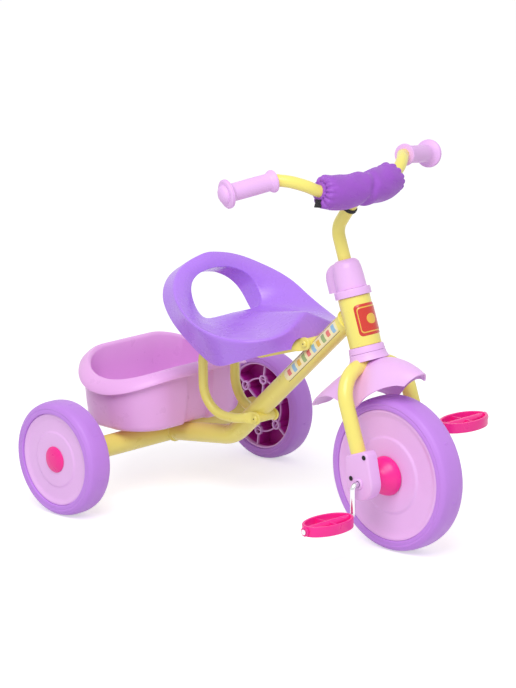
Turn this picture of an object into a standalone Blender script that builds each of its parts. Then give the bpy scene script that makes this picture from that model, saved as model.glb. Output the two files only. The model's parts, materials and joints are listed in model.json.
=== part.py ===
"""Toddler tricycle, built the way the real one is put together.

Forward is +X, the rider's left is +Y and up is +Z, in metres. Places along X are given from the
rear axle; one empty moves the whole machine so that the origin is under the middle of its box.
Steering pieces are given in the fork's own frame: X forward of the steering axis, Z up along it,
from the front wheel's centre. The frame is welded steel tube and the rest is moulded plastic.
"""
import math

import bmesh
import bpy
from mathutils import Matrix, Vector

# Overall sizes
WHEELBASE = 0.5323
TRACK = 0.4732
FRONT_RADIUS = 0.125
FRONT_WIDTH = 0.0497
REAR_RADIUS = 0.0958
REAR_WIDTH = 0.0467
RAKE = math.radians(18.9)

# Sides of the round wheels; a tyre and what it sits on have the same number
FRONT_STEPS = 32
REAR_STEPS = 24

# Clearances
SEAM = 0.0003
RUNNING = 0.0003

# Wheels
FRONT_DISC_RADIUS = 0.1063
REAR_DISC_RADIUS = 0.0773
WHEEL_WALL = 0.0035
HUB_RADIUS = 0.012
CAP_RADIUS = 0.022
CAP_CROWN = 0.006
RIB_THICKNESS = 0.0025
FLANGE_RADIUS = 0.032
FLANGE_END = 0.062

# Rear axle
AXLE_RADIUS = 0.005
BEAM_RADIUS = 0.0185
BEAM_HALF = 0.205
WASHER_THICKNESS = 0.002
WASHER_RADIUS = 0.012
NUT_THICKNESS = 0.003

# Frame tubes
MAIN_RADIUS = 0.0165
MAIN_ANGLE = math.radians(42.1)
MAIN_JOIN = 0.2645
LOWER_TUBE_ANGLE = math.radians(7.6)
MAIN_BEND = 0.070
HEAD_RADIUS = 0.026
HEAD_WALL = 0.0025
HEAD_BOTTOM = 0.2076
HEAD_TOP = 0.2875
CUP_RADIUS = 0.0295
CUP_HEIGHT = 0.0125
CUP_INSERT = 0.010

# Fork and handlebar post
LEG_RADIUS = 0.0122
LEG_SPREAD = 0.072
LEG_BEND = 0.053
CROWN_HEIGHT = 0.178
LEG_END = 0.018
STEERER_RADIUS = 0.0125
STEERER_WALL = 0.0017
STEERER_SADDLE = 0.0035
STEERER_STAND = 0.001
POST_RADIUS = 0.0105
POST_FOOT = 0.262
POST_CORNER = 0.400
POST_BEND = 0.030
CLAMP_LIFT = 0.006
CLAMP_HEIGHT = 0.012
STEM_CAP_HEIGHT = 0.047
COVER_RADIUS = 0.0335
COVER_HEIGHT = 0.0127
GUARD_THICKNESS = 0.0025

# Handlebar, from the front wheel's centre with the wheel straight ahead
BAR_RADIUS = 0.0097
BAR_CENTRE = Vector((-0.0773, 0.0, 0.4480))
GRIP_INNER = Vector((-0.1220, 0.1494, 0.4764))
GRIP_OUTER = Vector((-0.1431, 0.2308, 0.4647))
GRIP_RADIUS = 0.014
GRIP_LEAD = 0.006
PAD_RADIUS = 0.0265
PAD_HALF = 0.083

# Crank and pedals
ROD_RADIUS = 0.0045
ARM_PLACE = 0.101
CRANK_THROW = 0.0516
ROD_BEND = 0.008
PEDAL_LENGTH = 0.098
PEDAL_DEPTH = 0.060
PEDAL_HEIGHT = 0.0165
PEDAL_WALL = 0.0045
PEDAL_GAP = 0.003
PEDAL_TUBE = 0.0072
PEDAL_RIB = 0.003

# Fork-end covers
END_COVER_INNER = 0.0645
END_COVER_OUTER = 0.0885
BOSS_RADIUS = 0.028
SCREW_RADIUS = 0.002
SCREW_HEAD = 0.004

# Seat struts
STRUT_RADIUS = 0.008
STRUT_SPREAD = 0.0365
STRUT_REAR = 0.127
STRUT_LOW = 0.158
STRUT_HIGH = 0.281
STRUT_LOWER_BEND = 0.070
STRUT_UPPER_BEND = 0.038
SLEEVE_RADIUS = 0.008
SLEEVE_HALF = 0.0185
SLEEVE_OFFSET = 0.0155
LUG_THICKNESS = 0.004
LUG_RADIUS = 0.0105
BOLT_RADIUS = 0.003
BOLT_HEAD_RADIUS = 0.006
BOLT_HEAD_HEIGHT = 0.003
STRUT_NUT_RADIUS = 0.0058
STRUT_NUT_HEIGHT = 0.004

# Seat
SEAT_WALL = 0.003
SEAT_BOSS_RADIUS = 0.007
SEAT_BOSS_TOP = 0.3300
SEAT_BOSS_PLACES = (0.190, 0.240)
SEAT_SCREW_LENGTH = 0.030
NOTCH_ROOM = 0.002

# Basket
BASKET_CENTRE = -0.0106
BASKET_HALF_X = 0.0832
BASKET_HALF_Y = 0.134
BASKET_RIM = 0.2114
BASKET_CORNER = 0.0829
RIM_FLARE = 0.0212
RIM_SKIRT = 0.0239
RIM_SADDLE = 0.030
BODY_INSET = 0.012
BODY_TAPER = 0.008
BASKET_WALL = 0.0025
FLOOR_ROUND = 0.010
RECESS_HALF = 0.025
RECESS_DEPTH = 0.008

AXLE_HEIGHT = REAR_RADIUS
HALF_TRACK = TRACK / 2
REAR_END = BASKET_CENTRE - BASKET_HALF_X - RIM_FLARE
FRONT_END = WHEELBASE + FRONT_RADIUS
BOX_MIDDLE = (REAR_END + FRONT_END) / 2

# Colours: base colour, roughness, metallic
FINISHES = {
    "yellow_paint": ((0.93, 0.85, 0.27), 0.30, 0.0),
    "pink_plastic": ((0.90, 0.55, 0.92), 0.40, 0.0),
    "basket_plastic": ((0.84, 0.38, 0.84), 0.40, 0.0),
    "purple_plastic": ((0.44, 0.21, 0.88), 0.30, 0.0),
    "purple_tyre": ((0.55, 0.25, 0.80), 0.55, 0.0),
    "magenta_plastic": ((1.00, 0.02, 0.36), 0.35, 0.0),
    "chrome": ((0.80, 0.80, 0.82), 0.12, 1.0),
    "zinc_steel": ((0.60, 0.60, 0.62), 0.40, 1.0),
    "dark_steel": ((0.05, 0.05, 0.05), 0.45, 1.0),
    "purple_fabric": ((0.33, 0.08, 0.60), 0.85, 0.0),
    "black_fabric": ((0.02, 0.02, 0.02), 0.90, 0.0),
}


def collection(name):
    made = bpy.data.collections.new(name)
    bpy.context.scene.collection.children.link(made)
    return made


for old in list(bpy.data.objects):
    bpy.data.objects.remove(old, do_unlink=True)
PARTS = collection("toddler_tricycle")
TOOLS = collection("cutters")


def finish(name):
    """One material for one object, from the finish's colour, roughness and metallic value."""
    colour, roughness, metallic = FINISHES[name]
    made = bpy.data.materials.new(name)
    made.use_nodes = True
    shader = made.node_tree.nodes["Principled BSDF"]
    shader.inputs["Base Color"].default_value = (*colour, 1.0)
    shader.inputs["Roughness"].default_value = roughness
    shader.inputs["Metallic"].default_value = metallic
    return made


def empty(name, location, parent=None, rotation=(0, 0, 0)):
    made = bpy.data.objects.new(name, None)
    made.empty_display_size = 0.03
    PARTS.objects.link(made)
    made.parent = parent
    made.location = location
    made.rotation_euler = rotation
    return made


def place(name, mesh, parent, slot, location=(0, 0, 0), rotation=(0, 0, 0)):
    """Put a mesh in the parts, or in the cutters when it has no finish."""
    made = bpy.data.objects.new(name, mesh)
    (PARTS if slot else TOOLS).objects.link(made)
    made.parent = parent
    made.location = location
    made.rotation_euler = rotation
    if slot:
        mesh.materials.append(finish(slot))
    else:
        made.hide_render = True
        made.display_type = "WIRE"
    return made


def turned(name, profile, parent, slot, steps=32, location=(0, 0, 0), facing="Z"):
    """Turn a profile of (radius, height) points; one that stays off the axis is a closed ring."""
    count = len(profile)
    ring = profile[0][0] > 0
    chain = [(i, i + 1) for i in range(count - 1)]
    if ring:
        chain.append((count - 1, 0))
    mesh = bpy.data.meshes.new(name)
    mesh.from_pydata([(r, 0, h) for r, h in profile], chain, [])
    turn = {"Z": 0.0, "Y": -math.pi / 2, "-Y": math.pi / 2}[facing]
    made = place(name, mesh, parent, slot, location, (turn, 0, 0))
    screw = made.modifiers.new("turn", "SCREW")
    screw.axis = "Z"
    screw.angle = 2 * math.pi
    screw.steps = steps
    screw.render_steps = steps
    screw.use_merge_vertices = True
    screw.merge_threshold = 0.00001
    screw.use_smooth_shade = True
    return made


def rod(name, radius, low, high, parent, slot, steps=16, location=(0, 0, 0), facing="Z"):
    profile = [(0, high), (radius, high), (radius, low), (0, low)]
    return turned(name, profile, parent, slot, steps, location, facing)


def ring(name, outer, bore, low, high, parent, slot, steps=24, location=(0, 0, 0), facing="Z"):
    profile = [(bore, high), (outer, high), (outer, low), (bore, low)]
    return turned(name, profile, parent, slot, steps, location, facing)


def bent(corners, radius, step=math.radians(15)):
    """A tube bender's path: straight runs joined by arcs of one radius at the corners."""
    corners = [Vector(p) for p in corners]
    radii = radius if isinstance(radius, (list, tuple)) else [radius] * (len(corners) - 2)
    path = [corners[0]]
    for before, corner, after, bend in zip(corners, corners[1:], corners[2:], radii):
        back = (before - corner).normalized()
        ahead = (after - corner).normalized()
        half = back.angle(ahead) / 2
        setback = bend / math.tan(half)
        centre = corner + (back + ahead).normalized() * (bend / math.sin(half))
        start = corner + back * setback - centre
        turn = math.pi - 2 * half
        count = max(2, math.ceil(turn / step))
        axis = start.cross(corner + ahead * setback - centre)
        for i in range(count + 1):
            path.append(centre + Matrix.Rotation(turn * i / count, 3, axis) @ start)
    path.append(corners[-1])
    return path


def tube(name, path, radius, parent, slot, resolution=4):
    """A round tube along a path, as a mesh with its end caps welded."""
    curve = bpy.data.curves.new(name, "CURVE")
    curve.dimensions = "3D"
    curve.bevel_depth = radius
    curve.bevel_resolution = resolution
    curve.use_fill_caps = True
    curve.render_resolution_u = 0
    spline = curve.splines.new("POLY")
    spline.points.add(len(path) - 1)
    for point, spot in zip(spline.points, path):
        point.co = (*spot, 1)
    return from_curve(name, curve, parent, slot)


def plate(name, outline, thickness, parent, slot, location=(0, 0, 0), rotation=(0, 0, 0)):
    """A flat outline of (x, y) points, thickened evenly to both sides of its plane."""
    curve = bpy.data.curves.new(name, "CURVE")
    curve.dimensions = "2D"
    curve.fill_mode = "BOTH"
    curve.extrude = thickness / 2
    curve.render_resolution_u = 0
    spline = curve.splines.new("POLY")
    spline.points.add(len(outline) - 1)
    for point, spot in zip(spline.points, outline):
        point.co = (spot[0], spot[1], 0, 1)
    spline.use_cyclic_u = True
    return from_curve(name, curve, parent, slot, location, rotation)


def from_curve(name, curve, parent, slot, location=(0, 0, 0), rotation=(0, 0, 0)):
    drawn = bpy.data.objects.new(name, curve)
    PARTS.objects.link(drawn)
    view = bpy.context.evaluated_depsgraph_get()
    mesh = bpy.data.meshes.new_from_object(drawn.evaluated_get(view))
    bpy.data.objects.remove(drawn, do_unlink=True)
    work = bmesh.new()
    work.from_mesh(mesh)
    bmesh.ops.remove_doubles(work, verts=work.verts, dist=0.00001)
    bmesh.ops.recalc_face_normals(work, faces=work.faces)
    work.to_mesh(mesh)
    work.free()
    mesh.shade_smooth()
    mesh.set_sharp_from_angle(angle=math.radians(40))
    return place(name, mesh, parent, slot, location, rotation)


def block(name, low, high, parent, slot, rounding=0.0):
    """A box between two corners, with its edges rounded."""
    low, high = Vector(low), Vector(high)
    mesh = bpy.data.meshes.new(name)
    work = bmesh.new()
    bmesh.ops.create_cube(work, size=1)
    bmesh.ops.scale(work, vec=high - low, verts=work.verts)
    work.to_mesh(mesh)
    work.free()
    made = place(name, mesh, parent, slot, (low + high) / 2)
    if rounding:
        bevel = made.modifiers.new("rounding", "BEVEL")
        bevel.width = rounding
        bevel.segments = 2
    return made


def loft(name, rings, parent, slot, closed=False, location=(0, 0, 0)):
    """Faces between like-numbered rings; the ends are capped, or joined when closed."""
    mesh = bpy.data.meshes.new(name)
    work = bmesh.new()
    rows = [[work.verts.new(p) for p in points] for points in rings]
    pairs = list(zip(rows, rows[1:])) + ([(rows[-1], rows[0])] if closed else [])
    for lower, upper in pairs:
        for i in range(len(lower)):
            j = (i + 1) % len(lower)
            work.faces.new((lower[i], lower[j], upper[j], upper[i]))
    if not closed:
        work.faces.new(rows[0])
        work.faces.new(rows[-1])
    bmesh.ops.recalc_face_normals(work, faces=work.faces)
    work.to_mesh(mesh)
    work.free()
    mesh.shade_smooth()
    mesh.set_sharp_from_angle(angle=math.radians(40))
    return place(name, mesh, parent, slot, location)


def boolean(target, tool, operation):
    step = target.modifiers.new(tool.name, "BOOLEAN")
    step.operation = operation
    step.solver = "EXACT"
    step.object = tool


def cut(target, tool):
    boolean(target, tool, "DIFFERENCE")


def fuse(target, tool):
    boolean(target, tool, "UNION")


def smooth_through(points, per_span):
    """Catmull-Rom curve through the points, ends included."""
    points = [Vector(p) for p in points]
    padded = [2 * points[0] - points[1]] + points + [2 * points[-1] - points[-2]]
    path = []
    for a, b, c, d in zip(padded, padded[1:], padded[2:], padded[3:]):
        for i in range(per_span):
            t = i / per_span
            path.append(0.5 * (2 * b + (c - a) * t + (2 * a - 5 * b + 4 * c - d) * t * t
                               + (3 * b - 3 * c + d - a) * t ** 3))
    path.append(points[-1])
    return path


ground = empty("tricycle", (-BOX_MIDDLE, 0, 0))
front_centre = Vector((WHEELBASE, 0, FRONT_RADIUS))
steering = empty("steering_axis", front_centre, ground, (0, -RAKE, 0))
front_axle = empty("front_axle_line", (0, 0, 0), steering, (0, RAKE, 0))


def in_fork(point):
    """A place given from the front wheel's centre, in the fork's frame."""
    return Matrix.Rotation(RAKE, 3, "Y") @ Vector(point)


def from_fork(point):
    return front_centre + Matrix.Rotation(-RAKE, 3, "Y") @ Vector(point)


# Rear axle, beam and wheels

beam = ring("axle_beam", BEAM_RADIUS, AXLE_RADIUS + SEAM, -BEAM_HALF, BEAM_HALF, ground,
            "yellow_paint", 24, (0, 0, AXLE_HEIGHT), "Y")
WHEEL_INNER = -REAR_WIDTH / 2
WHEEL_FACE = REAR_WIDTH / 2 - 0.0042
HUB_FACE = WHEEL_FACE - 0.0092
hub_start = BEAM_HALF + SEAM + WASHER_THICKNESS + RUNNING
nut_start = HALF_TRACK + HUB_FACE + RUNNING
axle_tip = nut_start + NUT_THICKNESS + 0.001
rod("rear_axle", AXLE_RADIUS, -axle_tip, axle_tip, ground, "zinc_steel", 16,
    (0, 0, AXLE_HEIGHT), "Y")


def tyre_profile(radius, width, bore):
    half = width / 2
    return [
        (bore, half), (radius - 0.010, half), (radius - 0.003, half * 0.85),
        (radius, half * 0.45), (radius, -half * 0.45), (radius - 0.003, -half * 0.85),
        (radius - 0.010, -half), (bore, -half),
    ]


def rear_wheel(side, sign, facing):
    """Tyre, moulded wheel with ribs on its inner side, and the cap over the axle's end."""
    centre = (0, sign * HALF_TRACK, AXLE_HEIGHT)
    axis = empty("rear_wheel_axis_" + side, centre, ground)
    bore = AXLE_RADIUS + RUNNING
    outer = REAR_DISC_RADIUS - SEAM
    hub_foot = hub_start - HALF_TRACK
    turned("rear_tyre_" + side, tyre_profile(REAR_RADIUS, REAR_WIDTH, REAR_DISC_RADIUS), axis,
           "purple_tyre", REAR_STEPS, facing=facing)
    wheel = turned("rear_wheel_" + side, [
        (bore, HUB_FACE), (CAP_RADIUS - 0.0035, HUB_FACE), (CAP_RADIUS - 0.0035, WHEEL_FACE),
        (outer * 0.60, WHEEL_FACE), (outer * 0.63, WHEEL_FACE - 0.0018),
        (outer - 0.006, WHEEL_FACE - 0.0018), (outer, WHEEL_FACE + 0.0012),
        (outer, WHEEL_INNER + 0.004), (outer - WHEEL_WALL, WHEEL_INNER + 0.004),
        (outer - WHEEL_WALL, WHEEL_FACE - 0.0018 - WHEEL_WALL),
        (CAP_RADIUS, WHEEL_FACE - 0.0018 - WHEEL_WALL), (CAP_RADIUS, HUB_FACE - WHEEL_WALL),
        (HUB_RADIUS, HUB_FACE - WHEEL_WALL), (HUB_RADIUS, hub_foot), (bore, hub_foot),
    ], axis, "pink_plastic", REAR_STEPS, facing=facing)
    low = sign * (WHEEL_INNER + 0.006)
    high = sign * (WHEEL_FACE - 0.0018 - WHEEL_WALL / 2)
    for i in range(3):
        rib = block(f"rib_{side}_{i}", (-outer + 0.002, min(low, high), -RIB_THICKNESS / 2),
                    (outer - 0.002, max(low, high), RIB_THICKNESS / 2), axis, None)
        rib.rotation_euler = (0, math.radians(60 * i + 13), 0)
        fuse(wheel, rib)
    middle = empty("hub_core_" + side, (0, 0, 0), axis)
    cut(wheel, rod("hub_core_cut_" + side, CAP_RADIUS - 0.0035, HUB_FACE, 0.05, middle, None, 20,
                   facing=facing))
    cut(wheel, rod("hub_bore_" + side, bore, -0.06, 0.06, middle, None, 16, facing=facing))
    rim = WHEEL_FACE + SEAM
    turned("rear_hub_cap_" + side, [
        (0, rim + CAP_CROWN), (CAP_RADIUS * 0.55, rim + CAP_CROWN * 0.85),
        (CAP_RADIUS * 0.88, rim + CAP_CROWN * 0.45), (CAP_RADIUS, rim), (CAP_RADIUS - 0.003, rim),
        (CAP_RADIUS * 0.5, rim + CAP_CROWN * 0.35), (0, rim + CAP_CROWN * 0.45),
    ], axis, "magenta_plastic", 20, facing=facing)
    at = (0, 0, AXLE_HEIGHT)
    ring("axle_washer_" + side, WASHER_RADIUS, AXLE_RADIUS + SEAM, BEAM_HALF + SEAM,
         BEAM_HALF + SEAM + WASHER_THICKNESS, ground, "zinc_steel", 12, at, facing)
    ring("axle_push_nut_" + side, 0.010, AXLE_RADIUS + SEAM, nut_start,
         nut_start + NUT_THICKNESS, ground, "zinc_steel", 12, at, facing)


rear_wheel("left", 1, "Y")
rear_wheel("right", -1, "-Y")

# Head tube with its cups

HEAD_BORE = HEAD_RADIUS - HEAD_WALL
ring("head_tube", HEAD_RADIUS, HEAD_BORE, HEAD_BOTTOM, HEAD_TOP, steering, "yellow_paint", 24)
cup_bore = STEERER_RADIUS + RUNNING
turned("headset_cup_top", [
    (cup_bore, HEAD_TOP + SEAM + CUP_HEIGHT), (CUP_RADIUS - 0.001, HEAD_TOP + SEAM + CUP_HEIGHT),
    (CUP_RADIUS, HEAD_TOP + SEAM + CUP_HEIGHT - 0.001), (CUP_RADIUS, HEAD_TOP + SEAM),
    (HEAD_BORE - SEAM, HEAD_TOP + SEAM), (HEAD_BORE - SEAM, HEAD_TOP - CUP_INSERT),
    (cup_bore, HEAD_TOP - CUP_INSERT),
], steering, "pink_plastic", 24)
cup_foot = HEAD_BOTTOM - SEAM - CUP_HEIGHT + 0.002
turned("headset_cup_bottom", [
    (cup_bore, HEAD_BOTTOM + CUP_INSERT), (HEAD_BORE - SEAM, HEAD_BOTTOM + CUP_INSERT),
    (HEAD_BORE - SEAM, HEAD_BOTTOM - SEAM), (CUP_RADIUS - 0.0012, HEAD_BOTTOM - SEAM),
    (CUP_RADIUS, cup_foot), (cup_bore, cup_foot),
], steering, "pink_plastic", 24)

# Main tube, with the two cross sleeves that the seat struts are bolted to

head_join = from_fork((0, 0, MAIN_JOIN))
main_direction = Vector((math.cos(MAIN_ANGLE), 0, math.sin(MAIN_ANGLE)))
main_normal = Vector((math.sin(MAIN_ANGLE), 0, -math.cos(MAIN_ANGLE)))
beam_centre = Vector((0, 0, AXLE_HEIGHT))
rise = math.tan(LOWER_TUBE_ANGLE)
slope = math.tan(MAIN_ANGLE)
corner_x = (head_join.z - AXLE_HEIGHT - slope * head_join.x) / (rise - slope)
main_corner = Vector((corner_x, 0, AXLE_HEIGHT + rise * corner_x))
main_path = bent([beam_centre, main_corner, head_join], MAIN_BEND)
main_tube = tube("main_tube", main_path, MAIN_RADIUS, ground, "yellow_paint", 5)
LOWER_BOLT_ALONG = -0.2998
UPPER_BOLT_ALONG = -0.1160
lower_bolt = head_join + main_direction * LOWER_BOLT_ALONG + main_normal * SLEEVE_OFFSET
upper_bolt = head_join + main_direction * UPPER_BOLT_ALONG - main_normal * SLEEVE_OFFSET
for label, spot in (("lower", lower_bolt), ("upper", upper_bolt)):
    fuse(main_tube, rod("sleeve_" + label, SLEEVE_RADIUS, -SLEEVE_HALF, SLEEVE_HALF, ground,
                        None, 20, spot, "Y"))
    cut(main_tube, rod("sleeve_bore_" + label, BOLT_RADIUS + SEAM, -0.04, 0.04, ground, None, 12,
                       spot, "Y"))
cut(main_tube, rod("head_saddle", HEAD_RADIUS + SEAM, HEAD_BOTTOM - 0.05, HEAD_TOP + 0.05,
                   steering, None, 24))
cut(main_tube, rod("beam_saddle", BEAM_RADIUS + SEAM, -0.06, 0.06, ground, None, 24, beam_centre,
                   "Y"))

# Seat struts: bent tubes whose flattened ends lie against the sleeves

lug_inner = SLEEVE_HALF + SEAM
lug_middle = lug_inner + LUG_THICKNESS / 2
strut_end = lug_inner + STRUT_RADIUS
lug_reach = 0.017


def strut(side, sign):
    low = lower_bolt + Vector((-lug_reach, 0, -0.001))
    high = upper_bolt + Vector((-lug_reach, 0, -0.006))
    corners = [
        (low.x, sign * strut_end, low.z),
        (low.x - 0.022, sign * (strut_end + 0.003), STRUT_LOW),
        (STRUT_REAR, sign * STRUT_SPREAD, STRUT_LOW),
        (STRUT_REAR, sign * STRUT_SPREAD, STRUT_HIGH),
        (0.262, sign * (STRUT_SPREAD - 0.002), STRUT_HIGH),
        (high.x, sign * strut_end, high.z),
    ]
    bends = [0.03, STRUT_LOWER_BEND - 0.02, STRUT_UPPER_BEND, 0.03]
    made = tube("seat_strut_" + side, bent(corners, bends, math.radians(22.5)), STRUT_RADIUS,
                ground, "yellow_paint", 3)
    for label, spot, lean in (("lower", lower_bolt, 0.06), ("upper", upper_bolt, 0.34)):
        ends = [math.pi / 2 + math.pi * i / 8 for i in range(9)]
        outline = [(-lug_reach - 0.004 + LUG_RADIUS * 0.8 * math.cos(a),
                    LUG_RADIUS * 0.8 * math.sin(a)) for a in ends]
        outline += [(LUG_RADIUS * math.cos(a - math.pi), LUG_RADIUS * math.sin(a - math.pi))
                    for a in ends]
        lug = plate(f"lug_{label}_{side}", outline, LUG_THICKNESS, ground, None,
                    (spot.x, sign * lug_middle, spot.z), (math.pi / 2, -math.atan(lean), 0))
        fuse(made, lug)
        cut(made, rod(f"lug_hole_{label}_{side}", BOLT_RADIUS + SEAM, -0.05, 0.05, ground, None,
                      12, spot, "Y"))
    return made


struts = {side: strut(side, sign) for side, sign in (("left", 1), ("right", -1))}
lug_outer = lug_inner + LUG_THICKNESS
for label, spot in (("rear", lower_bolt), ("front", upper_bolt)):
    head_low = lug_outer + SEAM
    turned("strut_bolt_" + label, [
        (0, head_low + BOLT_HEAD_HEIGHT), (BOLT_HEAD_RADIUS * 0.7, head_low + BOLT_HEAD_HEIGHT),
        (BOLT_HEAD_RADIUS, head_low + BOLT_HEAD_HEIGHT * 0.4), (BOLT_HEAD_RADIUS, head_low),
        (BOLT_RADIUS, head_low), (BOLT_RADIUS, -head_low - 0.005), (0, -head_low - 0.005),
    ], ground, "dark_steel", 12, spot, "-Y")
    nut = rod("strut_nut_" + label, STRUT_NUT_RADIUS, head_low, head_low + STRUT_NUT_HEIGHT,
              ground, "dark_steel", 6, spot, "Y")
    cut(nut, rod("strut_nut_bore_" + label, BOLT_RADIUS + SEAM, 0, 0.05, ground, None, 12, spot,
                 "Y"))

# Fork: steerer, crown and legs

cap_foot = HEAD_TOP + SEAM + CUP_HEIGHT + RUNNING
clamp_low = cap_foot + CLAMP_LIFT
clamp_high = clamp_low + CLAMP_HEIGHT
steerer_top = clamp_high + STEERER_STAND

fork_corners = [(0, -LEG_SPREAD, LEG_END), (0, -LEG_SPREAD, CROWN_HEIGHT),
                (0, LEG_SPREAD, CROWN_HEIGHT), (0, LEG_SPREAD, LEG_END)]
fork = tube("fork", bent(fork_corners, LEG_BEND, math.radians(15)), LEG_RADIUS, steering,
            "yellow_paint", 4)
fuse(fork, ring("steerer", STEERER_RADIUS, STEERER_RADIUS - STEERER_WALL,
                CROWN_HEIGHT + STEERER_SADDLE, steerer_top, steering, None, 24))
fork_clear = tube("fork_clearance", bent(fork_corners, LEG_BEND, math.radians(15)),
                  LEG_RADIUS + SEAM, steering, None, 4)
leg_clear = tube("leg_clearance", bent([
    (0, -LEG_SPREAD, LEG_END - SEAM), (0, -LEG_SPREAD, CROWN_HEIGHT),
    (0, LEG_SPREAD, CROWN_HEIGHT), (0, LEG_SPREAD, LEG_END - SEAM)], LEG_BEND,
    math.radians(15)), LEG_RADIUS + SEAM, steering, None, 4)

cover_top = cup_foot - RUNNING
cover_foot = cover_top - COVER_HEIGHT
crown_cover = turned("fork_crown_cover", [
    (STEERER_RADIUS + SEAM, cover_top), (CUP_RADIUS, cover_top),
    (CUP_RADIUS + 0.0008, cover_top - COVER_HEIGHT * 0.5), (COVER_RADIUS, cover_foot),
    (STEERER_RADIUS + SEAM, cover_foot),
], steering, "pink_plastic", 24)
cut(crown_cover, fork_clear)

# Mudguard: one arched sheet over the wheel, from the rear tail to the front lip

GUARD_STATIONS = [
    # ahead of and above the front axle, half width, fall to the edge, squareness
    (-0.1773, 0.0800, 0.016, 0.005, 2.0),
    (-0.1473, 0.1130, 0.031, 0.014, 2.2),
    (-0.1123, 0.1430, 0.042, 0.038, 2.6),
    (-0.0773, 0.1660, 0.048, 0.062, 3.0),
    (-0.0423, 0.1810, 0.050, 0.079, 3.2),
    (-0.0123, 0.1865, 0.048, 0.055, 2.8),
    (0.0177, 0.1855, 0.043, 0.038, 2.5),
    (0.0477, 0.1790, 0.034, 0.020, 2.2),
    (0.0727, 0.1680, 0.015, 0.004, 2.0),
]
GUARD_ACROSS = 10


def guard_sheet():
    stations = smooth_through([Vector((x, z, w)) for x, z, w, fall, square in GUARD_STATIONS], 1)
    falls = smooth_through([Vector((fall, square, 0)) for x, z, w, fall, square
                            in GUARD_STATIONS], 1)
    mesh = bpy.data.meshes.new("mudguard")
    work = bmesh.new()
    rows = []
    for spot, shape in zip(stations, falls):
        row = []
        for i in range(GUARD_ACROSS + 1):
            share = math.sin((i / GUARD_ACROSS - 0.5) * math.pi)
            drop = shape.x * abs(share) ** shape.y
            row.append(work.verts.new((spot.x, spot.z * share, spot.y - drop)))
        rows.append(row)
    for near, far in zip(rows, rows[1:]):
        for i in range(GUARD_ACROSS):
            work.faces.new((near[i], far[i], far[i + 1], near[i + 1]))
    work.to_mesh(mesh)
    work.free()
    mesh.shade_smooth()
    return mesh


guard_mesh = guard_sheet()
guard_mesh.transform(Matrix.Rotation(RAKE, 4, "Y"))
mudguard = place("mudguard", guard_mesh, steering, "pink_plastic")
guard_wall = mudguard.modifiers.new("wall", "SOLIDIFY")
guard_wall.thickness = GUARD_THICKNESS
guard_wall.offset = -1
cut(mudguard, rod("guard_hole", COVER_RADIUS + SEAM, 0.10, 0.26, steering, None, 24))
cut(mudguard, tube("guard_leg_clearance", bent(fork_corners, LEG_BEND, math.radians(15)),
                   LEG_RADIUS + 0.001, steering, None, 4))

# Fork-end covers: they close the legs, carry the crank and hide the hub

COVER_TOP = 0.0475
COVER_FRONT = 0.033
COVER_BACK = -0.0165


def end_cover(side, sign, facing):
    arc = [math.radians(190 + 160 * i / 10) for i in range(11)]
    outline = [(BOSS_RADIUS * math.cos(a), BOSS_RADIUS * math.sin(a)) for a in arc]
    outline += [(COVER_FRONT, COVER_TOP - 0.008), (COVER_FRONT - 0.003, COVER_TOP - 0.001),
                (COVER_FRONT - 0.010, COVER_TOP), (COVER_BACK + 0.003, COVER_TOP),
                (COVER_BACK, COVER_TOP - 0.003)]
    middle = sign * (END_COVER_INNER + END_COVER_OUTER) / 2
    cover = plate("fork_end_cover_" + side, outline, END_COVER_OUTER - END_COVER_INNER, steering,
                  "pink_plastic", (0, middle, 0), (math.pi / 2, 0, 0))
    cut(cover, leg_clear)
    cut(cover, rod("crank_hole_" + side, ROD_RADIUS + RUNNING, -0.15, 0.15, steering, None, 16,
                   facing="Y"))
    spots = (("upper", 0.026, 0.0385), ("lower", -0.013, 0.011))
    for label, ahead, up in spots:
        head = END_COVER_OUTER + SEAM
        turned(f"cover_screw_{label}_{side}", [
            (0, head + 0.0015), (SCREW_HEAD * 0.8, head + 0.0012), (SCREW_HEAD, head),
            (SCREW_RADIUS, head), (SCREW_RADIUS, head - 0.012), (0, head - 0.012),
        ], steering, "dark_steel", 8, (ahead, 0, up), facing)
        cut(cover, rod(f"screw_hole_{label}_{side}", SCREW_RADIUS + SEAM, head - 0.013,
                       head + 0.01, steering, None, 8, (ahead, 0, up), facing))


end_cover("left", 1, "Y")
end_cover("right", -1, "-Y")

# Front wheel: tyre, two discs, two hub flanges and the bent crank

turned("front_tyre", tyre_profile(FRONT_RADIUS, FRONT_WIDTH, FRONT_DISC_RADIUS), front_axle,
       "purple_tyre", FRONT_STEPS, facing="Y")
crank_bore = ROD_RADIUS + SEAM
disc_outer = FRONT_DISC_RADIUS - SEAM
disc_face = FRONT_WIDTH / 2 - 0.0015
for side, facing in (("left", "Y"), ("right", "-Y")):
    turned("front_wheel_disc_" + side, [
        (crank_bore, disc_face), (disc_outer * 0.58, disc_face - 0.0015),
        (disc_outer * 0.61, disc_face - 0.004), (disc_outer - 0.008, disc_face - 0.0035),
        (disc_outer, disc_face), (disc_outer, SEAM / 2), (disc_outer - WHEEL_WALL, SEAM / 2),
        (disc_outer - WHEEL_WALL, disc_face - 0.0075), (0.016, disc_face - 0.0050),
        (HUB_RADIUS, disc_face - 0.010), (HUB_RADIUS, SEAM / 2), (crank_bore, SEAM / 2),
    ], front_axle, "pink_plastic", FRONT_STEPS, facing=facing)
    foot = disc_face + SEAM
    turned("hub_flange_" + side, [
        (crank_bore, FLANGE_END), (0.0125, FLANGE_END), (0.0145, FLANGE_END - 0.0015),
        (0.0175, FLANGE_END * 0.78), (0.0245, FLANGE_END * 0.66), (FLANGE_RADIUS * 0.94,
         FLANGE_END * 0.53), (FLANGE_RADIUS, foot + 0.003), (FLANGE_RADIUS, foot),
        (crank_bore, foot),
    ], front_axle, "magenta_plastic", 20, facing=facing)

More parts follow.
